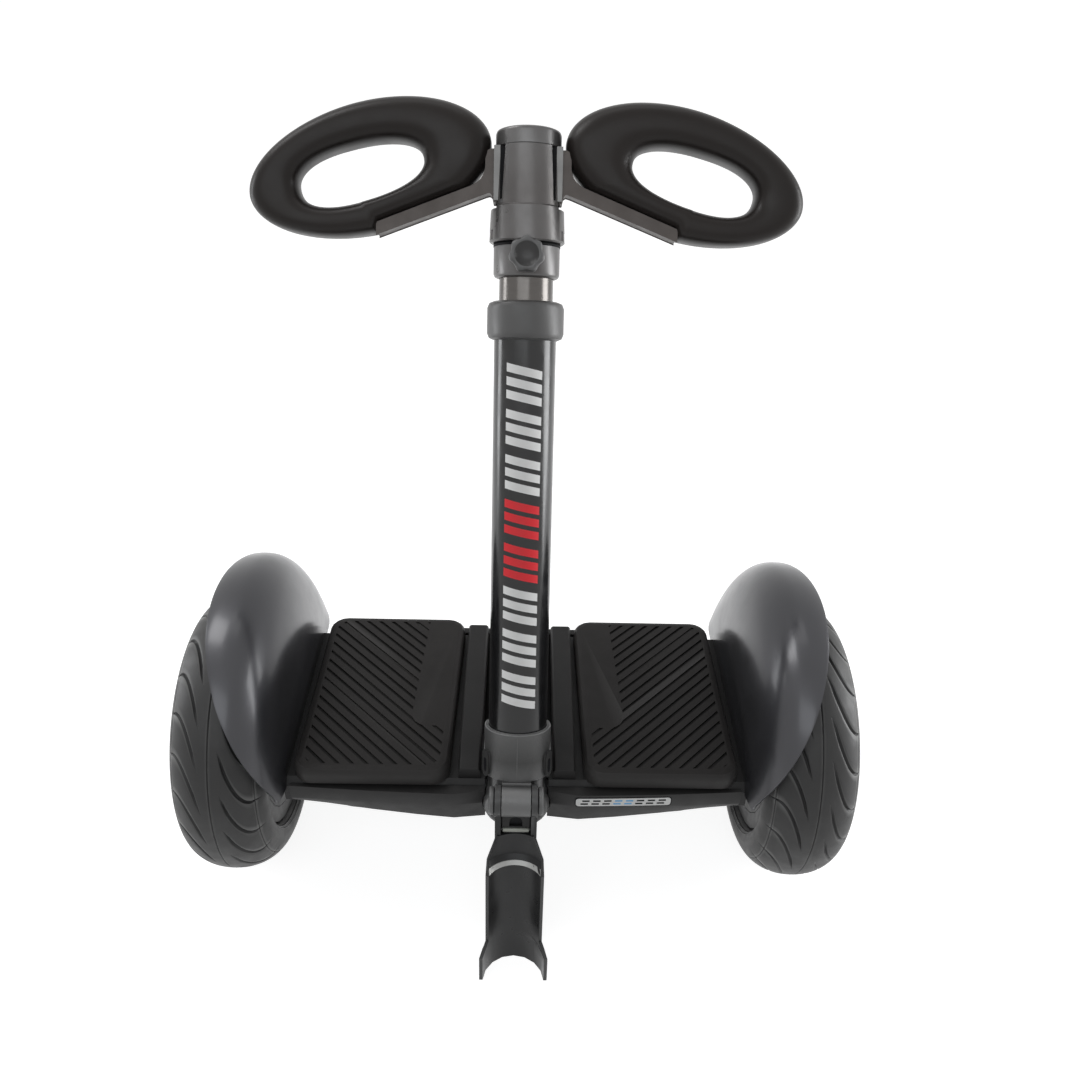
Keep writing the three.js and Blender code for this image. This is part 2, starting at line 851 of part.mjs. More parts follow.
// Outline of the lower shell across the deck at x, drawn in by a wall
function lowerRing(x, wall) {
  const share = endShare(x);
  const side = deckHalfLength - endSideTuck * share - wall;
  const sideLow = sideZ + endSideRise * share;
  const belly = bellyHalfLength - endBellyTuck * share - wall / 2;
  const bellyLow = bellyZ + endBellyRise * share + wall;
  const reach = Math.sign(x) * Math.max(0, Math.abs(x) - wall);
  const top = wall > 0 ? deckParting + overrun : deckParting;
  const half = [[side, top], [side, Math.min(sideLow, deckParting)], [belly, bellyLow]];
  const front = half.map(([y, z]) => [-y, z]);
  return [...front, ...half.reverse()].map(([y, z]) => at(reach, y, z));
}

function lowerLoft(wall) {
  const taper = deckHalfWidth - levelHalfWidth;
  const right = deckStationShares.map((share) => levelHalfWidth + taper * share);
  const stations = [...right.map((x) => -x).reverse(), ...right];
  return solid(loft(stations.map((x) => lowerRing(x, wall))));
}

// The room that the turning steering head needs in the shells and the bumper
function steeringRoom() {
  const radius = bossRadius + bossClearance;
  const front = bossFrontY - overrun;
  const back = bossBackY + bossClearance;
  const drum = rod('y', radius, front, back, hubFacets);
  drum.translate(0, 0, steerZ);
  const slotHalf = neckHalfWidth + neckSwing;
  const slot = block(at(-slotHalf, front, steerZ + radius / 2), at(slotHalf, back, trimTop));
  return join(solid(drum), slot);
}

function buildShells() {
  const half = deckHalfLength;
  const lower = cut(lowerLoft(0), lowerLoft(deckWall), steeringRoom(), ...axleRooms());
  const posts = boardPosts();
  place(deck, 'lower_shell', join(lower, ...posts), look.satinBlack);
  const seam = deckParting + gap;
  const outline = [
    [-half, seam], [-half, deckTop - deckShoulder], [-half + deckShoulder, deckTop],
    [half - deckShoulder, deckTop], [half, deckTop - deckShoulder], [half, seam],
  ];
  const inHalf = half - deckWall;
  const inside = [
    [-inHalf, seam - overrun], [-inHalf, shellTopInside - deckShoulder],
    [-inHalf + deckShoulder, shellTopInside], [inHalf - deckShoulder, shellTopInside],
    [inHalf, shellTopInside - deckShoulder], [inHalf, seam - overrun],
  ];
  const inX = deckHalfWidth - deckWall;
  const upper = cut(
    solid(alongX(outline, -deckHalfWidth, deckHalfWidth)),
    solid(alongX(inside, -inX, inX)),
    steeringRoom(),
    ...axleRooms(),
  );
  place(deck, 'upper_shell', upper, look.satinBlack);
}

// Holes in the shells' ends for the axles
function axleRooms() {
  return [-1, 1].map((side) => {
    const [near, far] = [deckHalfWidth - overrun * 2, deckHalfWidth + overrun];
    const hole = rod('x', axleRadius + gap * 2, near, far, pinFacets);
    hole.applyMatrix4(new THREE.Matrix4().makeScale(side, 1, 1));
    return solid(hole);
  });
}

function boardPosts() {
  const posts = [];
  const inset = standOffRadius + standOffRadius / 2;
  for (const x of [-boardHalfWidth + inset, boardHalfWidth - inset]) {
    for (const y of [boardFrontY + inset, boardBackY - inset]) {
      const floor = bellyZ + deckWall / 2;
      const post = rod('z', standOffRadius, floor, bellyZ + deckWall + standOffHeight, screwFacets);
      post.translate(x, y, 0);
      posts.push(solid(post));
    }
  }
  return posts;
}

// Front bumper: bowed in plan, low in the middle, drawn up and back towards its ends
function bumperRing(x) {
  const share = Math.min(1, Math.abs(x) / bumperHalfWidth);
  const bow = bumperEndTuck * share ** 2;
  const facet = Math.max(0, 1 - Math.abs(x) / bumperFacetHalf) * bumperDepth;
  const face = -deckHalfLength - gap - bumperDepth + bow + facet;
  const low = bumperLow + (bumperLowEnd - bumperLow) * share ** deckTaperShare;
  const back = -deckHalfLength - gap;
  const nose = Math.min(face, back - gap);
  const foot = Math.min(nose + bumperUndercut, back - gap / 2);
  return [[back, low], [foot, low], [nose, bumperNose], [nose + gap, bumperTop], [back, bumperTop]]
    .map(([y, z]) => at(x, y, z));
}

function buildBumpers() {
  for (const [side, label] of [[-1, 'left'], [1, 'right']]) {
    const stations = bumperStationShares.map((share) => share * side * bumperHalfWidth);
    const body = solid(loft(stations.map(bumperRing)));
    place(deck, `${label}_bumper`, cut(body, steeringRoom()), look.satinBlack);
  }
}

// Rear cover with its two lamps, the charging socket and the power button
function buildRearCover() {
  const back = deckHalfLength + gap;
  const face = back + rearDepth;
  const outline = rounded([
    [back, bumperLow + bumperUndercut], [face, bumperLow + bumperUndercut * 2],
    [face, bumperTop], [back, bumperTop],
  ], rearDepth / 6, roundSteps);
  const width = bumperHalfWidth - bumperEndTuck;
  let cover = solid(alongX(outline, -width, width));
  for (const side of [-1, 1]) {
    const label = side < 0 ? 'left' : 'right';
    const [low, high] = [side * lampX - lampHalfWidth, side * lampX + lampHalfWidth];
    const pocket = [[low, lampZ - lampHeight / 2], [high, lampZ - lampHeight / 2],
      [high, lampZ + lampHeight / 2], [low, lampZ + lampHeight / 2]];
    const room = alongY(rounded(pocket, lampHeight / 3, cornerSteps), face - lampDepth, face + overrun);
    cover = cover.subtract(solid(room));
    const lens = [[low + gap, lampZ - lampHeight / 2 + gap], [high - gap, lampZ - lampHeight / 2 + gap],
      [high - gap, lampZ + lampHeight / 2 - gap], [low + gap, lampZ + lampHeight / 2 - gap]];
    const glass = alongY(rounded(lens, lampHeight / 3, cornerSteps), face - lampDepth + gap, face + gap);
    place(deck, `${label}_tail_lamp`, solid(glass), look.lampRed);
  }
  const buttonFloor = face - buttonDepth - buttonProud;
  const buttonRoom = rod('y', buttonRadius + gap, buttonFloor, face + overrun, pinFacets);
  buttonRoom.translate(buttonX, 0, buttonZ);
  const portRoom = rod('y', portRadius + portWall + gap, back - overrun, face + overrun, pinFacets);
  portRoom.translate(portX, 0, buttonZ);
  cover = cut(cover, solid(buttonRoom), solid(portRoom));
  place(deck, 'rear_cover', cover, look.satinBlack);
  const button = turned([
    [0, -buttonDepth], [buttonRadius, -buttonDepth], [buttonRadius, buttonProud - gap],
    [buttonRadius - gap * 2, buttonProud], [0, buttonProud - gap * 2],
  ], pinFacets);
  button.rotateX(-Math.PI / 2);
  button.translate(buttonX, face, buttonZ);
  place(deck, 'power_button', solid(button), look.castGrey);
  const port = turned([
    [0, 0], [portRadius + portWall, 0], [portRadius + portWall, portDepth / 2],
    [portRadius, portDepth / 2], [portRadius, portWall], [portWall, portWall],
    [portWall, portDepth / 3], [0, portDepth / 3],
  ], pinFacets);
  port.rotateX(-Math.PI / 2);
  port.translate(portX, back + gap, buttonZ);
  place(deck, 'charge_port', solid(port), look.satinBlack);
  const [capLow, capHigh] = [buttonZ - capHeight / 2, buttonZ + capHeight / 2];
  const flap = alongY(rounded([
    [portX - capWidth / 2, capLow], [portX + capWidth / 2, capLow],
    [portX + capWidth / 2, capHigh], [portX - capWidth / 2, capHigh],
  ], capThickness, cornerSteps), face + gap, face + gap + capThickness);
  const knuckle = rod('x', capThickness / 2, portX - capWidth / 3, portX + capWidth / 3, screwFacets);
  knuckle.translate(0, face + gap + capThickness / 2, capHigh);
  place(deck, 'charge_port_cap', join(solid(flap), solid(knuckle)), look.rubberBlack);
}

// Foot pads: rounded slabs with diagonal grooves and a smooth field at their inner back
function padCorners(inset) {
  const slope = (padOuterBack - padOuterFront) / (2 * padHalfLength);
  return [
    [padInnerFront + inset, -padHalfLength + inset],
    [padOuterFront - inset + slope * inset, -padHalfLength + inset],
    [padOuterBack - inset, padHalfLength - inset],
    [padInnerBack + inset, padHalfLength - inset],
  ];
}

function footPadBody() {
  const rings = padEdgeShares.map(([inset, up]) => {
    const shift = inset * padEdgeRound;
    const z = padSeatZ + up * padThickness;
    const outline = rounded(padCorners(shift), padCorner - shift / 2, padCornerSteps);
    return outline.map(([x, y]) => at(x, y, z));
  });
  const slab = solid(loft(rings));
  const sensorRoom = block(
    at(padMiddleX() - sensorWidth / 2 - gap, -sensorLength / 2 - gap, padSeatZ - overrun),
    at(padMiddleX() + sensorWidth / 2 + gap, sensorLength / 2 + gap, padSeatZ + sensorThickness + gap),
  );
  return cut(slab, grooveTool(), sensorRoom);
}

function padMiddleX() {
  return (padInnerFront + padOuterFront) / 2;
}

// Parallel bars at 45 degrees, kept inside the ribbed field
function grooveTool() {
  const low = padTopZ - grooveDepth;
  const high = padTopZ + overrun;
  const fieldCorner = padCorner - grooveMargin / 2;
  const field = alongZ(rounded(padCorners(grooveMargin), fieldCorner, padCornerSteps), low, high);
  const reach = padOuterBack + padHalfLength;
  const bars = [];
  const spread = (padOuterBack - padInnerBack + 2 * padHalfLength) / Math.SQRT2;
  const count = Math.floor(spread / ribPitch);
  for (let i = 0; i < count; i++) {
    const shift = (i - (count - 1) / 2) * ribPitch;
    const bar = new THREE.BoxGeometry(grooveWidth, reach * 2, high - low);
    bar.translate(shift, 0, (low + high) / 2);
    bar.rotateZ(-Math.PI / 4);
    bar.translate((padInnerBack + padOuterBack) / 2, 0, 0);
    bars.push(solid(bar));
  }
  const comb = join(bars[0], ...bars.slice(1));
  const past = padCorner + overrun;
  const smooth = alongZ(rounded([
    [padInnerBack - past, smoothFrontY], [smoothOuterX, smoothFrontY],
    [smoothOuterX - padCorner / 2, padHalfLength + past],
    [padInnerBack - past, padHalfLength + past],
  ], smoothCorner, padCornerSteps), low - overrun, high + overrun);
  return cut(comb.intersect(solid(field)), solid(smooth));
}

function buildFootPads() {
  const shape = geometryOf(footPadBody());
  for (const side of [-1, 1]) {
    const label = side < 0 ? 'left' : 'right';
    const mirror = new THREE.Matrix4().makeScale(side, 1, 1);
    place(deck, `${label}_foot_pad`, solid(shape.clone().applyMatrix4(mirror)), look.rubberBlack);
    const middle = side * padMiddleX();
    const sensor = block(
      at(middle - sensorWidth / 2, -sensorLength / 2, padSeatZ),
      at(middle + sensorWidth / 2, sensorLength / 2, padSeatZ + sensorThickness),
    );
    place(deck, `${label}_foot_sensor`, sensor, look.boardGreen);
  }
}

// Trims that flank the bar, and the cover of the steering shaft's tunnel between them
function buildTrims() {
  const foot = deckTop + gap;
  for (const side of [-1, 1]) {
    const label = side < 0 ? 'left' : 'right';
    const rings = [0, trimChamfer].map((inset) => [
      [trimBackY, foot], [trimBackY, trimTop - deckShoulder - inset],
      [trimBackY - deckShoulder, trimTop - inset], [trimStepY, trimTop - inset],
      [trimSeamY, trimSeamZ - inset], [-deckHalfLength + deckShoulder, foot],
    ]);
    const [full, drawnIn] = rings;
    const inner = trimInnerX;
    const outer = trimOuterX;
    const stations = [
      [inner, drawnIn], [inner + trimChamfer, full],
      [outer - trimChamfer, full], [outer, drawnIn],
    ];
    const skin = loft(stations.map(([x, ring]) => ring.map(([y, z]) => at(side * x, y, z))));
    place(deck, `${label}_deck_trim`, solid(skin), look.satinBlack);
  }
  const half = trimInnerX - gap;
  const crown = arch(half, tunnelRise, tunnelCrownShare, tunnelSteps).map(([x, z]) => [x, foot + z]);
  place(deck, 'tunnel_cover', solid(alongY(crown, tunnelFrontY, trimBackY)), look.satinBlack);
}

// Steering head: a drum on the fore and aft shaft, with a neck that carries the bar's socket
function buildSteeringHead() {
  const drum = turned([
    [0, bossFrontY], [bossRadius - bossRound, bossFrontY],
    [bossRadius - bossRound / 3, bossFrontY + bossRound / 3],
    [bossRadius, bossFrontY + bossRound], [bossRadius, bossBackY], [0, bossBackY],
  ], barFacets);
  drum.rotateX(-Math.PI / 2);
  drum.translate(0, 0, steerZ);
  const neckOutline = rounded([
    [-neckHalfWidth, -neckFront], [neckHalfWidth, -neckFront],
    [neckHalfWidth, neckBack], [-neckHalfWidth, neckBack],
  ], neckCorner, padCornerSteps);
  const neck = alongZ(neckOutline, -socketDepth - gap - bossRadius, -socketDepth - gap);
  neck.rotateX(-barLean * radians);
  neck.translate(0, rimY, rimZ);
  const neckSolid = cut(solid(neck), block(
    at(-bossRadius, bossBackY, -bossRadius), at(bossRadius, deckHalfLength, rimZ)));
  const shaft = rod('y', shaftRadius, bossBackY - overrun, shaftBackY, pinFacets);
  shaft.translate(0, 0, steerZ);
  const socketRoom = rod('z', socketRadius + gap, -socketDepth - gap, socketDepth, barFacets);
  socketRoom.rotateX(-barLean * radians);
  socketRoom.translate(0, rimY, rimZ);
  const body = cut(join(solid(drum), neckSolid, solid(shaft)), solid(socketRoom));
  place(deck, 'steering_head', body, look.castGrey);
}

function buildShaftBearings() {
  const blocks = [['front', frontBlockY], ['rear', rearBlockY]];
  for (const [label, y] of blocks) {
    const ring = new THREE.Matrix4().makeTranslation(0, y, steerZ);
    const bearing = turnedRing([
      [shaftRadius + gap, -shaftBearingWidth / 2], [shaftBearingRadius, -shaftBearingWidth / 2],
      [shaftBearingRadius, shaftBearingWidth / 2], [shaftRadius + gap, shaftBearingWidth / 2],
    ], bearingFacets);
    bearing.rotateX(-Math.PI / 2);
    bearing.applyMatrix4(ring);
    place(deck, `${label}_shaft_bearing`, solid(bearing), look.brightSteel);
    const room = rod('y', shaftBearingRadius + gap, -blockLength, blockLength, bearingFacets);
    room.applyMatrix4(ring);
    const halfWidth = blockWidth / 2;
    const ceiling = shellTopInside - gap;
    const body = alongY(rounded([
      [-halfWidth, steerZ - blockDrop], [halfWidth, steerZ - blockDrop],
      [halfWidth, ceiling], [-halfWidth, ceiling],
    ], deckWall, roundSteps), y - blockLength / 2, y + blockLength / 2);
    place(deck, `${label}_bearing_block`, cut(solid(body), solid(room)), look.castGrey);
  }
}

// A torsion spring wound round the shaft, which brings the bar back upright
function buildCentringSpring() {
  const radius = shaftRadius + springWire;
  const length = springTurns * springPitch;
  const start = (frontBlockY + rearBlockY - length) / 2;
  class Coil extends THREE.Curve {
    getPoint(share) {
      const angle = share * springTurns * 2 * Math.PI;
      return at(radius * Math.cos(angle), start + length * share, steerZ + radius * Math.sin(angle));
    }
  }
  const wire = new THREE.Shape();
  for (let i = 0; i < springWireSides; i++) {
    const angle = 2 * Math.PI * i / springWireSides;
    const [u, v] = [springWire / 2 * Math.cos(angle), springWire / 2 * Math.sin(angle)];
    if (i === 0) {
      wire.moveTo(u, v);
    } else {
      wire.lineTo(u, v);
    }
  }
  const coil = new THREE.ExtrudeGeometry(wire, {
    steps: springTurns * springTurnSteps, curveSegments: 1, extrudePath: new Coil(),
  });
  place(deck, 'centring_spring', solid(coil), look.steel);
}

function buildPower() {
  const floor = bellyZ + deckWall + gap;
  const battery = alongX(rounded([
    [batteryFrontY, batteryFrontTop], [batteryFrontY, batteryFrontTop - batteryFrontFlank],
    [batteryFootY, floor], [batteryBackY, floor],
    [batteryBackY, batteryTop], [batteryStepY, batteryTop], [batteryStepY, batteryFrontTop],
  ], gap * 4, batteryCornerSteps), -batteryHalfWidth, batteryHalfWidth);
  place(deck, 'battery_pack', solid(battery), look.batteryBlue);
  const boardZ = bellyZ + deckWall + standOffHeight + gap;
  const boardTop = boardZ + boardThickness;
  const plate = block(at(-boardHalfWidth, boardFrontY, boardZ), at(boardHalfWidth, boardBackY, boardTop));
  const chips = [];
  for (let i = 0; i < chipCount; i++) {
    const x = (i - (chipCount - 1) / 2) * 2 * boardHalfWidth / (chipCount + 1);
    const y = (boardFrontY + boardBackY) / 2;
    chips.push(block(
      at(x - chipWidth / 2, y - chipWidth / 2, boardZ + boardThickness / 2),
      at(x + chipWidth / 2, y + chipWidth / 2, boardTop + chipHeight),
    ));
  }
  place(deck, 'control_board', join(plate, ...chips), look.boardGreen);
  for (const side of [-1, 1]) {
    const label = side < 0 ? 'left' : 'right';
    const [near, far] = [clampInnerX(), clampInnerX() + clampWidth];
    const body = alongX(rounded([
      [-clampLength / 2, -clampDrop], [clampLength / 2, -clampDrop],
      [clampLength / 2, shellTopInside - gap], [-clampLength / 2, shellTopInside - gap],
    ], deckWall, roundSteps), near, far);
    const bore = rod('x', axleRadius + gap, near - overrun, far + overrun, pinFacets);
    const clamp = geometryOf(cut(solid(body), solid(bore)));
    clamp.applyMatrix4(new THREE.Matrix4().makeScale(side, 1, 1));
    place(deck, `${label}_axle_clamp`, solid(clamp), look.castGrey);
  }
}

// Steering bar: socket, tubes, collar, sleeve and head, all upright in the bar's own frame

function tubeBody(radius, wall, from, to) {
  return solid(turnedRing([
    [radius - wall, from], [radius, from], [radius, to], [radius - wall, to],
  ], barFacets));
}

function buildSocket() {
  const bore = lowerTubeRadius + gap;
  const floor = -socketDepth + socketFloor;
  const cup = solid(turned([
    [0, -socketDepth], [socketRadius - socketFootChamfer, -socketDepth],
    [socketRadius, -socketDepth + socketFootChamfer],
    [socketRadius, -rimChamfer], [socketRadius - rimChamfer, 0], [bore, 0], [bore, floor], [0, floor],
  ], barFacets));
  const lugs = [-1, 1].map((side) => {
    const lug = rod('x', lugRadius, socketRadius - lugRadius / 2, socketRadius + lugProud, bearingFacets);
    lug.scale(1, 1, lugHeight / (2 * lugRadius));
    lug.applyMatrix4(new THREE.Matrix4().makeScale(side, 1, 1));
    lug.translate(0, 0, -lugDrop);
    return solid(lug);
  });
  const knuckle = rod('x', knuckleRadius, -knuckleHalf, knuckleHalf, hubFacets);
  knuckle.translate(0, -pinAhead, -pinBelowRim);
  const web = block(
    at(-knuckleHalf, -pinAhead, -pinBelowRim),
    at(knuckleHalf, -neckFront - hingeGap * 2, -socketDepth + gap),
  );
  const pinBore = rod('x', pinRadius + gap, -knuckleHalf - overrun, knuckleHalf + overrun, pinFacets);
  pinBore.translate(0, -pinAhead, -pinBelowRim);
  const keepOut = tubeKeepOut(bore, floor);
  const outer = cut(join(cup, ...lugs), keepOut);
  place(bar, 'steering_socket', cut(join(outer, solid(knuckle), web), solid(pinBore)), look.castGrey);
}

function tubeKeepOut(radius, floor) {
  return solid(rod('z', radius, floor, overrun, barFacets));
}

function buildTubes() {
  const lowest = -socketDepth + socketFloor + gap;
  place(bar, 'lower_tube', tubeBody(lowerTubeRadius, lowerTubeWall, lowest, lowerTubeTop), look.tubeBlack);
  const collarTop = collarBottom + collarHeight;
  const wide = lowerTubeRadius + gap;
  const narrow = innerTubeRadius + gap;
  const r = collarRadius;
  const collar = [
    [wide, collarBottom],
    ...arc(r - collarRound, collarBottom + collarRound, collarRound, -90, 0, roundSteps),
    ...arc(r - collarRound, collarTop - collarRound, collarRound, 0, 90, roundSteps),
    [narrow, collarTop],
    [narrow, lowerTubeTop + gap],
    [wide, lowerTubeTop + gap],
  ];
  place(bar, 'clamp_collar', solid(turnedRing(collar, barFacets)), look.rubberBlack);
  const headTop = headBottom() + headHeight;
  const innerFrom = lowerTubeTop - tubeRunIn;
  const innerTo = headTop - capFloorRecess;
  place(bar, 'inner_tube', tubeBody(innerTubeRadius, innerTubeWall, innerFrom, innerTo), look.steel);
}

function headBottom() {
  return sleeveBottom + sleeveHeight + gap;
}

function headSlotX() {
  return innerTubeRadius + gap + headSlotWall;
}

function knobZ() {
  return sleeveBottom + sleeveHeight - knobDrop;
}

function buildSleeve() {
  const top = sleeveBottom + sleeveHeight;
  const bore = innerTubeRadius + gap;
  const ring = solid(turnedRing([
    [bore, sleeveBottom],
    ...arc(sleeveRadius - sleeveRound, sleeveBottom + sleeveRound, sleeveRound, -90, 0, roundSteps),
    [sleeveRadius, top], [bore, top],
  ], barFacets));
  const bossFront = -sleeveRadius - knobStandOff / 2;
  const boss = rod('y', knobBossRadius, bossFront, -bore - sleeveRound / 2, pinFacets);
  boss.translate(0, 0, knobZ());
  const hole = rod('y', knobScrewRadius + gap, -sleeveRadius * 2, 0, screwFacets);
  hole.translate(0, 0, knobZ());
  place(bar, 'knob_sleeve', cut(join(ring, solid(boss)), solid(hole)), look.castGrey);
}

// Star knob: a lobed disc with a dished face, on a screw that presses on the inner tube
function buildStarKnob() {
  const outline = [];
  const steps = knobLobes * knobLobeSteps;
  for (let i = 0; i < steps; i++) {
    const angle = 2 * Math.PI * i / steps;
    const wave = Math.cos(knobLobes * angle);
    const radius = knobRadius - knobLobeDepth * (1 - wave) / 2;
    outline.push([radius * Math.sin(angle), radius * Math.cos(angle)]);
  }
  const back = -sleeveRadius - knobStandOff;
  const front = back - knobThickness;
  const edge = knobThickness / 5;
  const stations = [[back, knobBackShare], [back - edge, 1], [front + edge, 1], [front, knobFrontShare]];
  const disc = loft(stations.map(([y, scale]) => outline.map(([x, z]) => at(x * scale, y, z * scale))));
  const [across, down] = knobDishShares;
  const dish = turned([
    [0, -knobDishDepth], [knobDishRadius * across, -knobDishDepth * down],
    [knobDishRadius, 0], [knobDishRadius, overrun], [0, overrun],
  ], pinFacets);
  dish.rotateX(Math.PI / 2);
  dish.translate(0, front, 0);
  const screw = rod('y', knobScrewRadius, back - overrun / 2, -innerTubeRadius - gap, screwFacets);
  const body = geometryOf(join(cut(solid(disc), solid(dish)), solid(screw)));
  body.translate(0, 0, knobZ());
  place(bar, 'star_knob', solid(body), look.satinBlack);
}

function buildHead() {
  const bottom = headBottom();
  const ringTop = bottom + headRingHeight;
  const top = bottom + headHeight;
  const bore = innerTubeRadius + gap;
  const body = solid(turnedRing([
    [bore, bottom], [headRingRadius - headRingTaper, bottom], [headRingRadius, bottom + headRingTaper],
    [headRingRadius - headRingTaper, ringTop],
    [headRingRadius - headRingTaper * 2, ringTop + headRingTaper],
    [headTopRadius, top], [bore, top],
  ], barFacets));
  const tools = [];
  for (const side of [-1, 1]) {
    const [near, far] = [side * headSlotX(), side * (headRingRadius + overrun)];
    tools.push(block(
      at(Math.min(near, far), -headSlotHalfDepth, ringTop - headRingTaper),
      at(Math.max(near, far), headSlotHalfDepth, top + overrun),
    ));
    const notchNear = side * (headRingRadius - headNotchWidth);
    const notchFar = side * (headRingRadius + overrun);
    tools.push(block(
      at(Math.min(notchNear, notchFar), -headNotchWidth, bottom + headRingTaper),
      at(Math.max(notchNear, notchFar), headNotchWidth, bottom + headRingTaper + headNotchHeight),
    ));
  }
  place(bar, 'head_housing', cut(body, ...tools), look.castGrey);
  const capBottom = top + gap;
  const capTop = capBottom + capHeightAbove;
  const cap = turned([
    [0, capBottom], [capRadius, capBottom],
    ...arc(capRadius - capRound, capTop - capRound, capRound, 0, 90, roundSteps),
    [0, capTop],
  ], barFacets);
  place(bar, 'head_cap', solid(cap), look.castGrey);
}

// Knee pads: a fat closed loop between an outer oval and an oval hole

function oval(cx, cz, halfLength, halfHeight, tilt, angle) {
  const [u, v] = [halfLength * Math.cos(angle), halfHeight * Math.sin(angle)];
  const turn = tilt * radians;
  return [cx + u * Math.cos(turn) - v * Math.sin(turn), cz + u * Math.sin(turn) + v * Math.cos(turn)];
}

function kneeOuter(angle, grow = 0) {
  return oval(kneeCentreX, kneeCentreZ, kneeHalfLength + grow, kneeHalfHeight + grow, kneeTilt, angle);
}

function kneeHole(angle) {
  return oval(kneeHoleX, kneeHoleZ, kneeHoleHalfLength, kneeHoleHalfHeight, kneeHoleTilt, angle);
}

function kneePadRings() {
  const rings = [];
  for (let i = 0; i < kneeStations; i++) {
    const angle = 2 * Math.PI * i / kneeStations;
    const [ox, oz] = kneeOuter(angle);
    const [hx, hz] = kneeHole(angle);
    const share = (1 - Math.cos(angle)) / 2;
    const thick = kneeThickOuter + (kneeThickInner - kneeThickOuter) * share;
    const ring = [];
    for (let k = 0; k < kneeSides; k++) {
      const turn = 2 * Math.PI * k / kneeSides;
      const across = Math.sign(Math.cos(turn)) * Math.abs(Math.cos(turn)) ** kneeRoundShare;
      const deep = Math.sign(Math.sin(turn)) * Math.abs(Math.sin(turn)) ** kneeRoundShare;
      const mix = (1 - across) / 2;
      ring.push(at(ox + (hx - ox) * mix, deep * thick / 2, oz + (hz - oz) * mix));
    }
    rings.push(ring);
  }
  return rings;
}

// Pad bracket: a wedge in the head's slot, widening into a cradle under the pad's lower edge
function bracketOutline() {
  const top = headBottom() + headHeight - bracketTopDrop;
  const bottom = headBottom() + headRingHeight + gap;
  const root = headSlotX() + gap;
  const follow = [];
  const lower = [];
  for (let i = 0; i <= bracketSteps; i++) {
    const sweep = (bracketEndAngle - bracketStartAngle) * i / bracketSteps;
    const angle = (bracketStartAngle + sweep) * radians;
    follow.push(kneeOuter(angle, gap * 3));
    lower.push(kneeOuter(angle, gap * 3 + bracketArm));
  }
  const kept = follow.filter(([x, z]) => x > headRingRadius && x < bracketEndX && z < top);
  const underRoot = root + bracketArm * 3;
  const underTop = bottom + headRingTaper;
  const under = lower.filter(([x, z]) => x > underRoot && x < bracketEndX && z < underTop);
  const [endX, endZ] = kept[kept.length - 1];
  const [underX, underZ] = under[under.length - 1];
  return [
    [root, top], [kept[0][0], top], ...kept,
    [bracketEndX, endZ - (bracketEndX - endX) * bracketEndSlope],
    [bracketEndX, underZ - (bracketEndX - underX) * bracketEndSlope], ...under.reverse(),
    [headRingRadius + gap * 2, bottom + bracketWedgeTaper], [root + bracketWedgeTaper / 2, bottom],
    [root, bottom + bracketWedgeTaper],
  ];
}

function buildKneePads() {
  const pad = loft(kneePadRings(), true);
  const plate = alongY(bracketOutline(), -bracketThickness / 2, bracketThickness / 2);
  for (const side of [-1, 1]) {
    const label = side < 0 ? 'left' : 'right';
    const mirror = new THREE.Matrix4().makeScale(side, 1, 1);
    place(bar, `${label}_knee_pad`, solid(pad.clone().applyMatrix4(mirror)), look.softBlack);
    place(bar, `${label}_pad_bracket`, solid(plate.clone().applyMatrix4(mirror)), look.castGrey);
  }
}

// Latch lever: a forked neck that widens into a channel, which closes round the lower tube

function leverRing(drop, inner, halfAngle) {
  const outer = inner + leverWall;
  const from = 90 - halfAngle;
  const to = 90 + halfAngle;
  const outerArc = arc(0, -pinAhead, outer, from, to, leverArcSteps);
  const innerArc = arc(0, -pinAhead, inner, to, from, leverArcSteps);
  return [...outerArc, ...innerArc].map(([x, y]) => at(x, y, -drop));
}

function leverBody() {
  const wide = pinAhead + leverPinGap;
  const narrow = lowerTubeRadius + leverTubeGap;
  const channel = solid(loft([
    leverRing(neckStart, wide, neckTopAngle),
    leverRing(neckEnd, wide, neckEndAngle),
    leverRing(channelStart, narrow, channelAngle),
    leverRing(flareStart, narrow, channelAngle),
    leverRing(flareEnd, narrow + flareWiden, flareAngle),
    leverRing(leverLength, narrow + flareWiden, flareAngle),
  ]));
  const near = knuckleHalf + hingeGap;
  const far = near + earThickness;
  const armBack = leverWall + leverPinGap;
  const ears = [-1, 1].map((side) => {
    const disc = rod('x', knuckleRadius, near, far, hubFacets);
    const arm = block(at(near, -leverPinGap, -neckStart - leverWall), at(far, armBack, 0));
    const ear = geometryOf(join(solid(disc), arm));
    ear.applyMatrix4(new THREE.Matrix4().makeScale(side, 1, 1));
    return solid(ear);
  });
  const bore = solid(rod('x', pinRadius + gap, -far - overrun, far + overrun, pinFacets));
  return cut(join(channel, ...ears), bore);
}

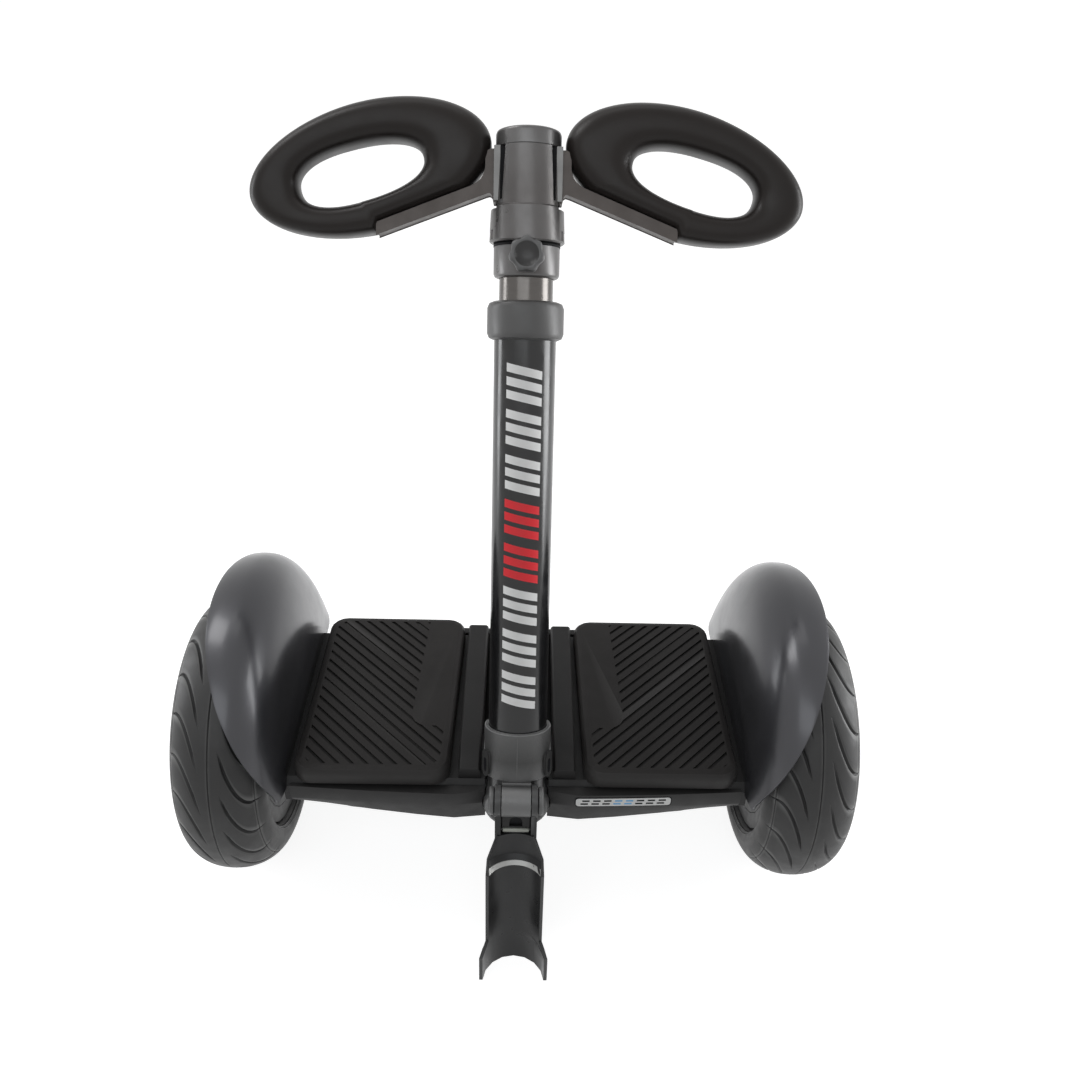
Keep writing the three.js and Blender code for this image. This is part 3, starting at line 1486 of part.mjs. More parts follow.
function buildLever() {
  place(lever, 'latch_lever', leverBody(), look.castGrey);
  const near = knuckleHalf + hingeGap;
  const headStart = near + earThickness + gap;
  const pin = join(
    solid(rod('x', pinRadius, -headStart - gap, headStart + gap, pinFacets)),
    solid(rod('x', pinHeadRadius, headStart, headStart + pinHeadThickness, hubFacets)),
    solid(rod('x', pinHeadRadius, -headStart - pinHeadThickness, -headStart, hubFacets)),
  );
  place(lever, 'latch_pin', pin, look.castGrey);
  const half = knuckleHalf - gap;
  const catchFront = leverPinGap;
  const catchBack = catchFront + catchThickness;
  const windowArch = arch(catchWindowWidth / 2, catchWindowHeight, catchWindowShare, catchWindowSteps)
    .map(([x, up]) => [x, -catchWindowTop - catchWindowHeight + up]);
  const plate = alongY(rounded([
    [-half, -catchBottom], [half, -catchBottom], [half, -catchTop], [-half, -catchTop],
  ], catchPinRadius, cornerSteps), catchFront, catchBack);
  const window = alongY(windowArch, catchFront - overrun, catchBack + overrun);
  const bore = rod('x', catchPinRadius + gap, -half - overrun, half + overrun, screwFacets);
  bore.translate(0, (catchFront + catchBack) / 2, -catchPinDrop);
  place(lever, 'latch_catch', cut(solid(plate), solid(window), solid(bore)), look.satinBlack);
  const catchPin = rod('x', catchPinRadius, -near + gap, near - gap, screwFacets);
  catchPin.translate(0, (catchFront + catchBack) / 2, -catchPinDrop);
  place(lever, 'catch_pin', solid(catchPin), look.brightSteel);
}

// The lever hangs from its pin so that the foot of its channel stands on the floor
function hangLever() {
  const flareRadius = lowerTubeRadius + leverTubeGap + flareWiden + leverWall;
  const tip = new THREE.Vector2(pinAhead - flareRadius, leverLength);
  const height = tyreRadius + leverPin.z;
  const splay = Math.acos(height / tip.length()) - Math.atan2(tip.x, tip.y);
  lever.position.set(0, leverPin.y, leverPin.z);
  lever.rotation.x = -splay;
}

buildShells();
buildBumpers();
buildRearCover();
buildFootPads();
buildTrims();
for (const [side, label] of [[-1, 'left'], [1, 'right']]) {
  buildWheel(side, label);
  buildFender(side, label);
}
buildPower();
buildSteeringHead();
buildShaftBearings();
buildCentringSpring();
buildSocket();
buildTubes();
buildSleeve();
buildStarKnob();
buildHead();
buildKneePads();
buildLever();
hangLever();

// The origin is on the floor, under the middle of the whole object
deck.position.z = tyreRadius;
transporter.updateMatrixWorld(true);
const bounds = new THREE.Box3().setFromObject(transporter, true);
deck.position.y = -(bounds.min.y + bounds.max.y) / 2;

export default transporter;
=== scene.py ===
import math

import bpy
import numpy as np
from mathutils import Matrix, Vector


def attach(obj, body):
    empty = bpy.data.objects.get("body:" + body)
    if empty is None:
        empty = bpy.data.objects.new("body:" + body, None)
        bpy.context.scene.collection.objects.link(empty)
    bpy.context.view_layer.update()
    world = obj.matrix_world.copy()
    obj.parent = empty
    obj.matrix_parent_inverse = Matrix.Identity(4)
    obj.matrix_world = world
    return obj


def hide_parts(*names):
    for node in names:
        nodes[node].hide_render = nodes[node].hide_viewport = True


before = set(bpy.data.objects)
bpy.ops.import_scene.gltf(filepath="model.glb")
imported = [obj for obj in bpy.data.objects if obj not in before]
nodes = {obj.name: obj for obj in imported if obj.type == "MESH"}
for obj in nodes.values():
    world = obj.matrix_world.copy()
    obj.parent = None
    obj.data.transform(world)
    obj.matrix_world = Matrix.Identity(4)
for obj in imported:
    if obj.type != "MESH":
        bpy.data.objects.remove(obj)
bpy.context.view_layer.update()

MM = 0.001
TAU = 2 * math.pi
SIDES = ((-1, "left"), (1, "right"))

# Places and turns that the CAD gives, in metres and radians
AXLE = Vector((0, 0.0130067, 0.127))
RIM = Vector((0, -0.0589933, 0.2115))
LEAN = math.radians(25.9)
UP = Vector((0, math.sin(LEAN), math.cos(LEAN)))
BACK = Vector((0, math.cos(LEAN), -math.sin(LEAN)))
PIN = Vector((0, -0.1097857, 0.1755782))
SPLAY = math.radians(-8.6363968)
WHEEL_X = 0.25


def in_bar(x, y, z):
    """A point of the bar's own upright frame, in mm, whose socket rim is at 0."""
    return RIM + Vector((x * MM, 0, 0)) + BACK * (y * MM) + UP * (z * MM)


def in_lever(x, y, z):
    """A point of the hanging lever's frame, in mm, whose pin is at 0."""
    c, s = math.cos(SPLAY), math.sin(SPLAY)
    return PIN + Vector((x, y * c - z * s, y * s + z * c)) * MM


def in_deck(x, y, z):
    """A point in mm from the middle of the wheels' axis."""
    return AXLE + Vector((x, y, z)) * MM


def mirrored(side, place):
    """The same frame with x counted towards one side."""
    return lambda x, y, z: place(side * x, y, z)


# Camera, at the photograph's place

CAMERA_PLACE = Vector((0.0003, -0.6112, 0.801))
CAMERA_DOWN, CAMERA_YAW, CAMERA_ROLL = math.radians(36), math.radians(-1.1), math.radians(1.1)
PHOTO_WIDTH, FOCAL_PIXELS, SENSOR_WIDTH = 1080, 955, 36


def make_camera():
    level = Matrix((
        (1, 0, 0),
        (0, -math.sin(CAMERA_DOWN), -math.cos(CAMERA_DOWN)),
        (0, math.cos(CAMERA_DOWN), -math.sin(CAMERA_DOWN)),
    ))
    turn = Matrix.Rotation(CAMERA_ROLL, 3, "Z") @ Matrix.Rotation(CAMERA_YAW, 3, "Y") @ level
    right, below, ahead = turn[0], turn[1], turn[2]
    pose = Matrix((right, -below, -ahead)).transposed().to_4x4()
    pose.translation = CAMERA_PLACE
    data = bpy.data.cameras.new("camera")
    data.sensor_width = SENSOR_WIDTH
    data.lens = FOCAL_PIXELS / PHOTO_WIDTH * SENSOR_WIDTH
    camera = bpy.data.objects.new("camera", data)
    camera.matrix_world = pose
    bpy.context.scene.collection.objects.link(camera)
    bpy.context.scene.camera = camera


make_camera()


# Materials: each is mottled in colour and roughness, with a fine grain as bump

ROUGHNESS_SWING = 0.06
COAT_ROUGHNESS = 0.19
# Pointiness where an edge starts to look worn and is fully so, and the same for a hollow, which is
# darkened as painted shade
WORN_EDGES, WORN_SHARE = (0.515, 0.56), 0.75
HOLLOW_SHADE_RANGE = (0.44, 0.492)


def tree_of(material):
    material.use_nodes = True
    tree = material.node_tree
    return tree, tree.nodes.get("Principled BSDF"), tree.nodes.new("ShaderNodeTexCoord")


def noise(tree, coords, scale, detail=3.0, roughness=0.55, stretch=None):
    node = tree.nodes.new("ShaderNodeTexNoise")
    node.inputs["Scale"].default_value = scale
    node.inputs["Detail"].default_value = detail
    node.inputs["Roughness"].default_value = roughness
    source = coords.outputs["Object"]
    if stretch:
        mapping = tree.nodes.new("ShaderNodeMapping")
        mapping.inputs["Scale"].default_value = stretch
        tree.links.new(source, mapping.inputs["Vector"])
        source = mapping.outputs["Vector"]
    tree.links.new(source, node.inputs["Vector"])
    return node.outputs["Fac"]


def spread(tree, value, low, high, start=0.3, end=0.7):
    """Maps a value between start and end to one between low and high."""
    node = tree.nodes.new("ShaderNodeMapRange")
    node.inputs["From Min"].default_value = start
    node.inputs["From Max"].default_value = end
    node.inputs["To Min"].default_value = low
    node.inputs["To Max"].default_value = high
    tree.links.new(value, node.inputs["Value"])
    return node.outputs["Result"]


def mixed(tree, share, first, second):
    """Mixes two colours, each given as a tuple or as a socket."""
    node = tree.nodes.new("ShaderNodeMix")
    node.data_type = "RGBA"
    tree.links.new(share, node.inputs["Factor"])
    for name, colour in (("A", first), ("B", second)):
        socket = [s for s in node.inputs if s.name == name and s.type == "RGBA"][0]
        if isinstance(colour, tuple):
            socket.default_value = (*colour, 1)
        else:
            tree.links.new(colour, socket)
    return [s for s in node.outputs if s.type == "RGBA"][0]


def pointiness(tree):
    return tree.nodes.new("ShaderNodeNewGeometry").outputs["Pointiness"]


def finish(name, colour, roughness, metallic=0.0, *, grain, bump, depth=0.0002, mottle=0.12,
           patch=25, worn=None, deep=None, stretch=None, coat=0.0, sheen=0.0, shine=0.5):
    """A finish: worn is the colour of its edges, deep the painted shade in its hollows, shine its
    specular.
    """
    material = bpy.data.materials.new(name)
    tree, shader, coords = tree_of(material)
    broad = noise(tree, coords, patch, 4.0, 0.6, stretch)
    dark = tuple(c * (1 - mottle) for c in colour)
    light = tuple(c * (1 + mottle) for c in colour)
    tint = mixed(tree, spread(tree, broad, 0, 1), dark, light)
    if worn:
        edge = spread(tree, pointiness(tree), 0, WORN_SHARE, *WORN_EDGES)
        tint = mixed(tree, edge, tint, worn)
    # deep paints shade into the hollows that pointiness finds
    if deep:
        hollow = spread(tree, pointiness(tree), 1, 0, *HOLLOW_SHADE_RANGE)
        tint = mixed(tree, hollow, tint, deep)
    tree.links.new(tint, shader.inputs["Base Color"])
    fine = noise(tree, coords, grain, 2.0, 0.5, stretch)
    uneven = spread(tree, noise(tree, coords, patch * 3, 3.0),
                    roughness - ROUGHNESS_SWING, roughness + ROUGHNESS_SWING)
    tree.links.new(uneven, shader.inputs["Roughness"])
    shader.inputs["Metallic"].default_value = metallic
    shader.inputs["Specular IOR Level"].default_value = shine
    shader.inputs["Coat Weight"].default_value = coat
    shader.inputs["Coat Roughness"].default_value = COAT_ROUGHNESS
    shader.inputs["Sheen Weight"].default_value = sheen
    relief = tree.nodes.new("ShaderNodeBump")
    relief.inputs["Strength"].default_value = bump
    relief.inputs["Distance"].default_value = depth
    tree.links.new(fine, relief.inputs["Height"])
    tree.links.new(relief.outputs["Normal"], shader.inputs["Normal"])
    return material


LOOKS = {
    "shell": finish("shell_plastic", (0.018, 0.0175, 0.0175), 0.4, grain=1400, bump=0.25,
                    shine=0.16),
    "fender": finish("fender_plastic", (0.046, 0.046, 0.051), 0.34, 0.6, grain=2200, bump=0.06,
                     mottle=0.06, patch=8, coat=0.5, shine=0.3),
    # The tyre's deep colour is painted shade in its grooves
    "tyre": finish("tyre_rubber", (0.028, 0.0275, 0.0275), 0.5, grain=1800, bump=0.3,
                   worn=(0.24, 0.24, 0.235), deep=(0.0015, 0.0015, 0.0015), shine=0.35),
    # The pad's deep colour is painted shade in its grooves and hollows
    "pad": finish("pad_rubber", (0.019, 0.0175, 0.017), 0.48, grain=1600, bump=0.35,
                  worn=(0.055, 0.053, 0.052), deep=(0.003, 0.003, 0.003), shine=0.14),
    "knee": finish("knee_foam", (0.014, 0.011, 0.0098), 0.36, grain=1300, bump=0.2, patch=12,
                   sheen=0.02, shine=0.2),
    "cast": finish("cast_alloy", (0.043, 0.043, 0.0425), 0.42, 0.2, grain=750, bump=0.7,
                   depth=0.0003, worn=(0.22, 0.22, 0.22), shine=0.4),
    "lever": finish("lever_enamel", (0.02, 0.02, 0.0205), 0.32, 0.1, grain=1500, bump=0.15,
                    worn=(0.10, 0.10, 0.10), shine=0.22),
    "head": finish("head_alloy", (0.092, 0.086, 0.084), 0.33, 0.45, grain=1500, bump=0.2,
                   worn=(0.17, 0.17, 0.17), shine=0.45),
    "bracket": finish("bracket_alloy", (0.078, 0.068, 0.063), 0.45, 0.4, grain=1200, bump=0.3,
                      worn=(0.2, 0.18, 0.17), shine=0.3),
    "tube": finish("tube_black", (0.0075, 0.0075, 0.008), 0.2, grain=2500, bump=0.05,
                   mottle=0.06),
    "inner": finish("inner_tube_metal", (0.105, 0.098, 0.093), 0.2, 0.9, grain=2500, bump=0.05,
                    mottle=0.06, stretch=(1, 1, 12)),
    "steel": finish("bright_steel", (0.55, 0.55, 0.53), 0.32, 0.9, grain=1200, bump=0.1),
    "collar": finish("collar_rubber", (0.043, 0.041, 0.040), 0.42, grain=1200, bump=0.3,
                     worn=(0.12, 0.12, 0.12), shine=0.45),
    "knob": finish("knob_plastic", (0.034, 0.033, 0.033), 0.4, grain=1500, bump=0.2,
                   worn=(0.15, 0.15, 0.15), shine=0.4),
    "hub": finish("hub_paint", (0.012, 0.012, 0.0125), 0.45, grain=1200, bump=0.3,
                  worn=(0.05, 0.05, 0.05), shine=0.3),
    "bolt": finish("dark_steel", (0.10, 0.10, 0.10), 0.35, 0.8, grain=1500, bump=0.1),
    "copper": finish("copper_wire", (0.35, 0.17, 0.09), 0.45, 0.7, grain=700, bump=0.5,
                     stretch=(1, 20, 20)),
    "board": finish("board_green", (0.02, 0.09, 0.045), 0.45, grain=500, bump=0.2),
    "battery": finish("battery_wrap", (0.03, 0.10, 0.22), 0.35, grain=600, bump=0.2),
    "lamp": finish("lamp_red", (0.32, 0.01, 0.012), 0.18, grain=300, bump=0.1, coat=0.5),
    "white": finish("decal_white", (0.76, 0.76, 0.75), 0.4, grain=2500, bump=0.04, mottle=0.03),
    "red": finish("decal_red", (0.70, 0.015, 0.025), 0.4, grain=2500, bump=0.04, mottle=0.05),
    "blue": finish("decal_blue", (0.16, 0.42, 0.72), 0.4, grain=2500, bump=0.04, mottle=0.05),
    # A pale colour that paints the highlight on the lever's step
    "edge": finish("painted_highlight_band", (0.34, 0.34, 0.33), 0.4, 0.5, grain=1500, bump=0.15),
    "strip": finish("ground_strip", (0.15, 0.148, 0.145), 0.35, 0.5, grain=1500, bump=0.15),
    "pale": finish("pale_pin", (0.27, 0.28, 0.25), 0.4, 0.3, grain=1500, bump=0.15),
    # Dark ink: print, and also painted shade in the head's slots, in the lugs' recesses and on the
    # sleeve's top under the head's ring
    "ink": finish("decal_ink_and_painted_shade", (0.005, 0.005, 0.006), 0.6, grain=2500, bump=0.04, mottle=0.05,
                  shine=0.12),
}


# Carried-over CAD nodes get a finish and softened edges


def weld_points(obj, distance):
    weld = obj.modifiers.new("weld", "WELD")
    weld.merge_threshold = distance * MM


def round_edges(obj, width, angle, segments):
    bevel = obj.modifiers.new("bevel", "BEVEL")
    bevel.width = width * MM
    bevel.segments = segments
    bevel.limit_method = "ANGLE"
    bevel.angle_limit = math.radians(angle)


def even_shading(obj):
    weighted = obj.modifiers.new("normals", "WEIGHTED_NORMAL")
    weighted.keep_sharp = False


def soften(obj, width, angle=32, segments=2):
    """Rounds the edges that are sharper than the angle in degrees, by width in mm."""
    weld_points(obj, 0.01)
    round_edges(obj, width, angle, segments)
    even_shading(obj)


def repaint(mesh, look):
    """Gives a solid's mesh one look, and smooth shading in place of its own normals."""
    mesh.materials.clear()
    mesh.materials.append(LOOKS[look])
    for layer in [a for a in mesh.attributes if a.name == "custom_normal"]:
        mesh.attributes.remove(layer)
    mesh.polygons.foreach_set("use_smooth", [True] * len(mesh.polygons))


def dress(name, look, width=0.5, segments=2):
    repaint(nodes[name].data, look)
    soften(nodes[name], width, segments=segments)


CARRIED = {
    "shell": ["lower_shell", "upper_shell", "left_bumper", "right_bumper", "rear_cover",
              "left_deck_trim", "right_deck_trim", "tunnel_cover", "latch_catch", "charge_port"],
    "pad": ["left_foot_pad", "right_foot_pad", "charge_port_cap", "left_valve_stem",
            "right_valve_stem"],
    "cast": ["steering_head", "left_axle_clamp", "right_axle_clamp", "front_bearing_block",
             "rear_bearing_block", "power_button"],
    "hub": ["left_hub_shell", "right_hub_shell", "left_motor_cover", "right_motor_cover"],
    "lever": ["latch_lever"],
    "head": ["head_cap", "knob_sleeve"],
    "tube": ["lower_tube"],
    "inner": ["inner_tube"],
    "collar": ["clamp_collar"],
    "steel": ["left_axle", "right_axle", "left_wheel_bearing", "right_wheel_bearing",
              "front_shaft_bearing", "rear_shaft_bearing", "centring_spring"],
    "bolt": ["catch_pin"],
    "copper": ["left_stator", "right_stator"],
    "board": ["control_board", "left_foot_sensor", "right_foot_sensor"],
    "battery": ["battery_pack"],
    "lamp": ["left_tail_lamp", "right_tail_lamp"],
}
for look, names in CARRIED.items():
    for name in names:
        dress(name, look)

# The lever's pin has broadly rounded ends
dress("latch_pin", "cast", 1.7, segments=5)


# Mesh helpers


def add_mesh(name, points, faces, look, body=None, smooth=True):
    mesh = bpy.data.meshes.new(name)
    mesh.from_pydata([tuple(p) for p in points], [], [tuple(f) for f in faces])
    mesh.validate()
    mesh.update()
    if smooth:
        mesh.polygons.foreach_set("use_smooth", [True] * len(mesh.polygons))
    mesh.materials.append(LOOKS[look])
    obj = bpy.data.objects.new(name, mesh)
    bpy.context.scene.collection.objects.link(obj)
    if body:
        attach(obj, body)
    return obj


def grid_faces(rows, columns, wrap_rows=False, wrap_columns=False, flip=False):
    faces = []
    for i in range(rows if wrap_rows else rows - 1):
        for k in range(columns if wrap_columns else columns - 1):
            after, below = (k + 1) % columns, (i + 1) % rows * columns
            a, b, c, d = i * columns + k, i * columns + after, below + after, below + k
            faces.append((a, d, c, b) if flip else (a, b, c, d))
    return faces


def outward(obj):
    """Turns the faces of a closed mesh outwards."""
    mesh = obj.data
    volume = 0
    co = [v.co for v in mesh.vertices]
    for p in mesh.polygons:
        v = p.vertices
        for k in range(1, len(v) - 1):
            volume += co[v[0]].dot(co[v[k]].cross(co[v[k + 1]]))
    if volume < 0:
        mesh.flip_normals()
    return obj


def prism(name, outline, low, high, place, look, body, slot):
    """A closed outline of (u, v) points pushed from low to high along the second direction."""
    n = len(outline)
    points = [place(u, low, v) for u, v in outline] + [place(u, high, v) for u, v in outline]
    faces = [tuple(range(n)), tuple(range(2 * n - 1, n - 1, -1))]
    faces += [(i, (i + 1) % n, n + (i + 1) % n, n + i) for i in range(n)]
    return outward(add_mesh(name, points, faces, look, body, smooth=False))


def ring_solid(name, profile, count, place, look, body, closed=False):
    """A turned piece from a profile of (radius, height) points about the frame's z."""
    points = [place(r * math.cos(TAU * i / count), r * math.sin(TAU * i / count), z)
              for r, z in profile for i in range(count)]
    faces = grid_faces(len(profile), count, closed, wrap_columns=True)
    obj = add_mesh(name, points, faces, look, body)
    weld_points(obj, 0.001)
    return outward(obj)


def plate(name, us, low, high, place, look, body):
    """A thin solid: place(u, v, 0) gives its back, and place(u, v, 1) its front."""
    n = len(us)
    borders = ((low, 0), (low, 1), (high, 1), (high, 0))
    points = [place(u, border(u), side) for border, side in borders for u in us]
    faces = grid_faces(4, n, wrap_rows=True)
    faces += [(0, n, 2 * n, 3 * n), (n - 1, 4 * n - 1, 3 * n - 1, 2 * n - 1)]
    return outward(add_mesh(name, points, faces, look, body, smooth=False))


# Tyres: sickle grooves from the centre slit to the shoulder, and two raised rings on each flank

TYRE_RADIUS = 127
CROWN_HALF_WIDTH, CROWN_HEIGHT, CROWN_POWER = 39, 30, 2.1
# x and radius: the outside below the crown, and the inside from bead to bead
BEAD = ((38.6, 94.6), (37.2, 92.3), (34.4, 90.4), (31.0, 89.2), (28.0, 88.6))
CARCASS = ((28, 80.8), (22, 80.8), (22, 83.2), (31, 97), (24, 113), (0, 120),
           (-24, 113), (-31, 97), (-22, 83.2), (-22, 80.8), (-28, 80.8))

GROOVE_COUNT = 22
GROOVE_PITCH = TAU * TYRE_RADIUS / GROOVE_COUNT
GROOVE_REACH, GROOVE_POWER = 50.0, 2.1
GROOVE_START, GROOVE_END = 8.0, 36.0
GROOVE_WIDTH, GROOVE_DEPTH = 2.6, 2.6
GROOVE_LIP, LIP_SHARE, FLOOR_SHARE = 0.35, 0.12, 0.45
FREE_STEPS = 6
# Arc length from the crown, and the groove's depth and width there
GROOVE_BENDS = (
    (0, 0, 0.4),
    (GROOVE_START, 0, 0.5),
    (GROOVE_START + 4, GROOVE_DEPTH, GROOVE_WIDTH),
    (GROOVE_END - 4, GROOVE_DEPTH, GROOVE_WIDTH * 1.1),
    (GROOVE_END, 1.5, 2.2),
    (GROOVE_END + 3, 0.8, 1.8),
    (GROOVE_END + 8, 0, 0.8),
    (200, 0, 0.4),
)
SLIT_HALF_WIDTH, SLIT_DEPTH = 0.5, 1.1
SHOULDER_LINE, SHOULDER_DEPTH = (GROOVE_END + 1.3, GROOVE_END + 2.0), 0.7
FLANK_RINGS, RING_HALF_WIDTH, RING_HEIGHT = (11, 8), 0.3, 0.5
NORMAL_STEP = 0.2


def tyre_section():
    """Arc length from the crown, x and radius, for one half of the tyre's outside."""
    t = np.linspace(math.pi / 2, 0, 300)
    x = CROWN_HALF_WIDTH * np.abs(np.cos(t)) ** (2 / CROWN_POWER)
    r = TYRE_RADIUS - CROWN_HEIGHT + CROWN_HEIGHT * np.abs(np.sin(t)) ** (2 / CROWN_POWER)
    bead_x, bead_r = np.array(BEAD).T
    x, r = np.concatenate([x, bead_x]), np.concatenate([r, bead_r])
    arc = np.concatenate([[0], np.cumsum(np.hypot(np.diff(x), np.diff(r)))])
    return arc, x, r


def tyre_rows(total):
    """Arc lengths of the mesh's rows, which lie closer where the tread steps."""
    start, end = GROOVE_START, GROOVE_END
    rows = [0.35, 0.75, 1.1, 4.5, start - 0.6]
    rows += [*np.linspace(start, start + 4, 5), *np.linspace(start + 5.5, end - 2, 13)]
    rows += [end + more for more in (-1, 0, 1, 1.4, 1.9, 2.3, 3.5, 5, 7, 9)]
    rows += [*np.linspace(end + 10.5, total - 13, 3)]
    rows += [total - ring + more for ring in FLANK_RINGS for more in (-0.5, -0.2, 0.2, 0.5)]
    rows += [total - less for less in (6, 4, 2, 0)]
    return np.array(sorted(-w for w in rows) + sorted(rows))


def tyre_outside():
    """Rows from bead to bead: arc length, x and radius, and the same two of the normal."""
    arc, x_table, r_table = tyre_section()
    total = arc[-1]
    w = tyre_rows(total)
    a = np.abs(w)
    ahead, behind = np.minimum(a + NORMAL_STEP, total), a - NORMAL_STEP
    dx = np.interp(ahead, arc, x_table) - np.interp(behind, arc, x_table)
    dr = np.interp(ahead, arc, r_table) - np.interp(behind, arc, r_table)
    length = np.hypot(dx, dr)
    x, r = np.sign(w) * np.interp(a, arc, x_table), np.interp(a, arc, r_table)
    return w, x, r, -dr / length * np.sign(w), dx / length


def tyre_depth(w):
    """Depth of the lines and rings at each row, and depth and width of the sickle grooves."""
    a = np.abs(w)
    base = np.where(a < SLIT_HALF_WIDTH, SLIT_DEPTH, 0.0)
    base = np.where((a > SHOULDER_LINE[0]) & (a < SHOULDER_LINE[1]), SHOULDER_DEPTH, base)
    for from_bead in FLANK_RINGS:
        near = np.abs(a - (a.max() - from_bead)) < RING_HALF_WIDTH
        base = np.where(near, -RING_HEIGHT, base)
    bends, depths, widths = zip(*GROOVE_BENDS)
    return base, np.interp(a, bends, depths), np.interp(a, bends, widths)


def tyre_shift(w):
    """How far the groove's middle lies along the tread at each row, and the slope there."""
    span = GROOVE_END - GROOVE_START
    share = (GROOVE_END - np.clip(np.abs(w), GROOVE_START, GROOVE_END)) / span
    half_way = GROOVE_PITCH / 4 * np.clip(w / GROOVE_START, -1, 1)
    shift = half_way - np.sign(w) * GROOVE_REACH * (1 - share ** GROOVE_POWER)
    inside = (np.abs(w) >= GROOVE_START) & (np.abs(w) <= GROOVE_END)
    slope = GROOVE_REACH * GROOVE_POWER / span * share ** (GROOVE_POWER - 1)
    return shift, np.where(inside, slope, 0)


def tyre_columns(width, slope):
    """Steps along one pitch: the offset at each row, and the share of the groove's depth."""
    stretch = np.sqrt(1 + slope ** 2)
    half, lip = width / 2 * stretch, GROOVE_LIP * stretch
    columns = [(-half - lip, 0.0), (-half, LIP_SHARE), (-half * FLOOR_SHARE, 1.0),
               (half * FLOOR_SHARE, 1.0), (half, LIP_SHARE), (half + lip, 0.0)]
    free = GROOVE_PITCH - 2 * (half + lip)
    return columns + [(half + lip + free * k / FREE_STEPS, 0.0) for k in range(1, FREE_STEPS)]


def make_tyre(side, label):
    w, x, r, normal_x, normal_r = tyre_outside()
    base, groove, width = tyre_depth(w)
    shift, slope = tyre_shift(w)
    wheel_x = side * WHEEL_X / MM
    rings = []
    for i in range(GROOVE_COUNT):
        for offset, share in tyre_columns(width, slope):
            angle = (i * GROOVE_PITCH + offset + shift) / TYRE_RADIUS
            deep = base + groove * share
            radius = r - normal_r * deep
            across = wheel_x + x - normal_x * deep
            tread = np.stack([across, -radius * np.cos(angle), radius * np.sin(angle)], -1)
            turn = (i * GROOVE_PITCH + offset[len(w) // 2]) / TYRE_RADIUS
            inside = [(wheel_x + px, -pr * math.cos(turn), pr * math.sin(turn))
                      for px, pr in CARCASS]
            rings.append(np.concatenate([tread, inside]))
    points = np.concatenate(rings) * MM + np.array(AXLE)
    faces = grid_faces(len(rings), len(rings[0]), True, True)
    obj = outward(add_mesh(f"{label}_tread", points, faces, "tyre", f"{label}_wheel"))
    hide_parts(f"{label}_tyre")


for side, label in SIDES:
    make_tyre(side, label)


# Fenders: a finer form of the turned shell, cut along the same sweep

FENDER_INNER_X, FENDER_HALF_WIDTH, FENDER_RADIUS, FENDER_WALL = 196.3, 42.5, 147.0, 3.0
FENDER_MIDDLE = FENDER_INNER_X + FENDER_HALF_WIDTH
# The turned shell's centre lies behind and above the axle
FENDER_SETBACK, FENDER_LIFT = 6.5, 10.0
# The section's crown: height and roundness, on the tyre's outer side and on the deck's side
OUTER_CROWN, OUTER_POWER = 44.0, 2.3
INNER_CROWN, INNER_POWER, INNER_GROWTH = 84.0, 2.1, 0.8
CHEEK_RADIUS, CHEEK_ROWS = 24.5, 4
# The outer edge swings out from the foot with its height
EDGE_FOOT, EDGE_REACH, EDGE_RISE, EDGE_POWER = 28.0, 70.0, 147.0, 1.23


def inner_crown(share):
    """The crown's height on the deck's side, which grows away from the feet."""
    grown = max(0, math.sin(math.pi * share)) ** INNER_GROWTH
    return OUTER_CROWN + (INNER_CROWN - OUTER_CROWN) * grown


def fender_arch(a, share):
    """x and radius on the section, from the deck's side at 0 over the crown at half pi."""
    cos, sin = math.cos(a), math.sin(a)
    if cos > 0:
        tall, bend = inner_crown(share), 2 / INNER_POWER
    else:
        tall, bend = OUTER_CROWN, 2 / OUTER_POWER
    x = FENDER_MIDDLE - math.copysign(abs(cos) ** bend, cos) * FENDER_HALF_WIDTH
    return x, FENDER_RADIUS - tall * (1 - abs(sin) ** bend)


def fender_turn(r, share):
    """Angle round the wheel, where share runs from the front foot to the back foot."""
    low = math.asin((EDGE_FOOT - FENDER_LIFT) / r)
    return low + (math.pi - 2 * low) * share


def fender_limit(share):
    """How far over the section the shell runs before the outer edge cuts it."""
    low, high = 0.0, math.pi * 0.98
    for _ in range(40):
        middle = (low + high) / 2
        x, r = fender_arch(middle, share)
        height = (r * math.sin(fender_turn(r, share)) + FENDER_LIFT - EDGE_FOOT) / EDGE_RISE
        reach = EDGE_REACH * min(1, max(0.0, height)) ** EDGE_POWER
        if x < FENDER_INNER_X + FENDER_WALL + reach:
            low = middle
        else:
            high = middle
    return low


def make_fender(side, label):
    rows, columns = 121, 37
    points = []

    def add_point(x, r, share):
        turn = fender_turn(r, share)
        points.append(in_deck(side * x, FENDER_SETBACK - r * math.cos(turn),
                              FENDER_LIFT + r * math.sin(turn)))

    for j in range(rows):
        share = (1 - math.cos(math.pi * j / (rows - 1))) / 2
        cheek = FENDER_RADIUS - inner_crown(share) - CHEEK_RADIUS
        for k in range(CHEEK_ROWS):
            add_point(FENDER_INNER_X, CHEEK_RADIUS + cheek * k / CHEEK_ROWS, share)
        top = fender_limit(share)
        for k in range(columns):
            add_point(*fender_arch(top * k / (columns - 1), share), share)
    faces = grid_faces(rows, CHEEK_ROWS + columns, flip=side > 0)
    obj = add_mesh(f"{label}_fender_skin", points, faces, "fender", "chassis")
    thick = obj.modifiers.new("wall", "SOLIDIFY")
    thick.thickness = FENDER_WALL * MM
    thick.offset = -1
    round_edges(obj, width=0.9, angle=50, segments=3)
    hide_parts(f"{label}_fender")


for side, label in SIDES:
    make_fender(side, label)


# Knee pads: moulded foam loops, each in the cradle of a cast bracket

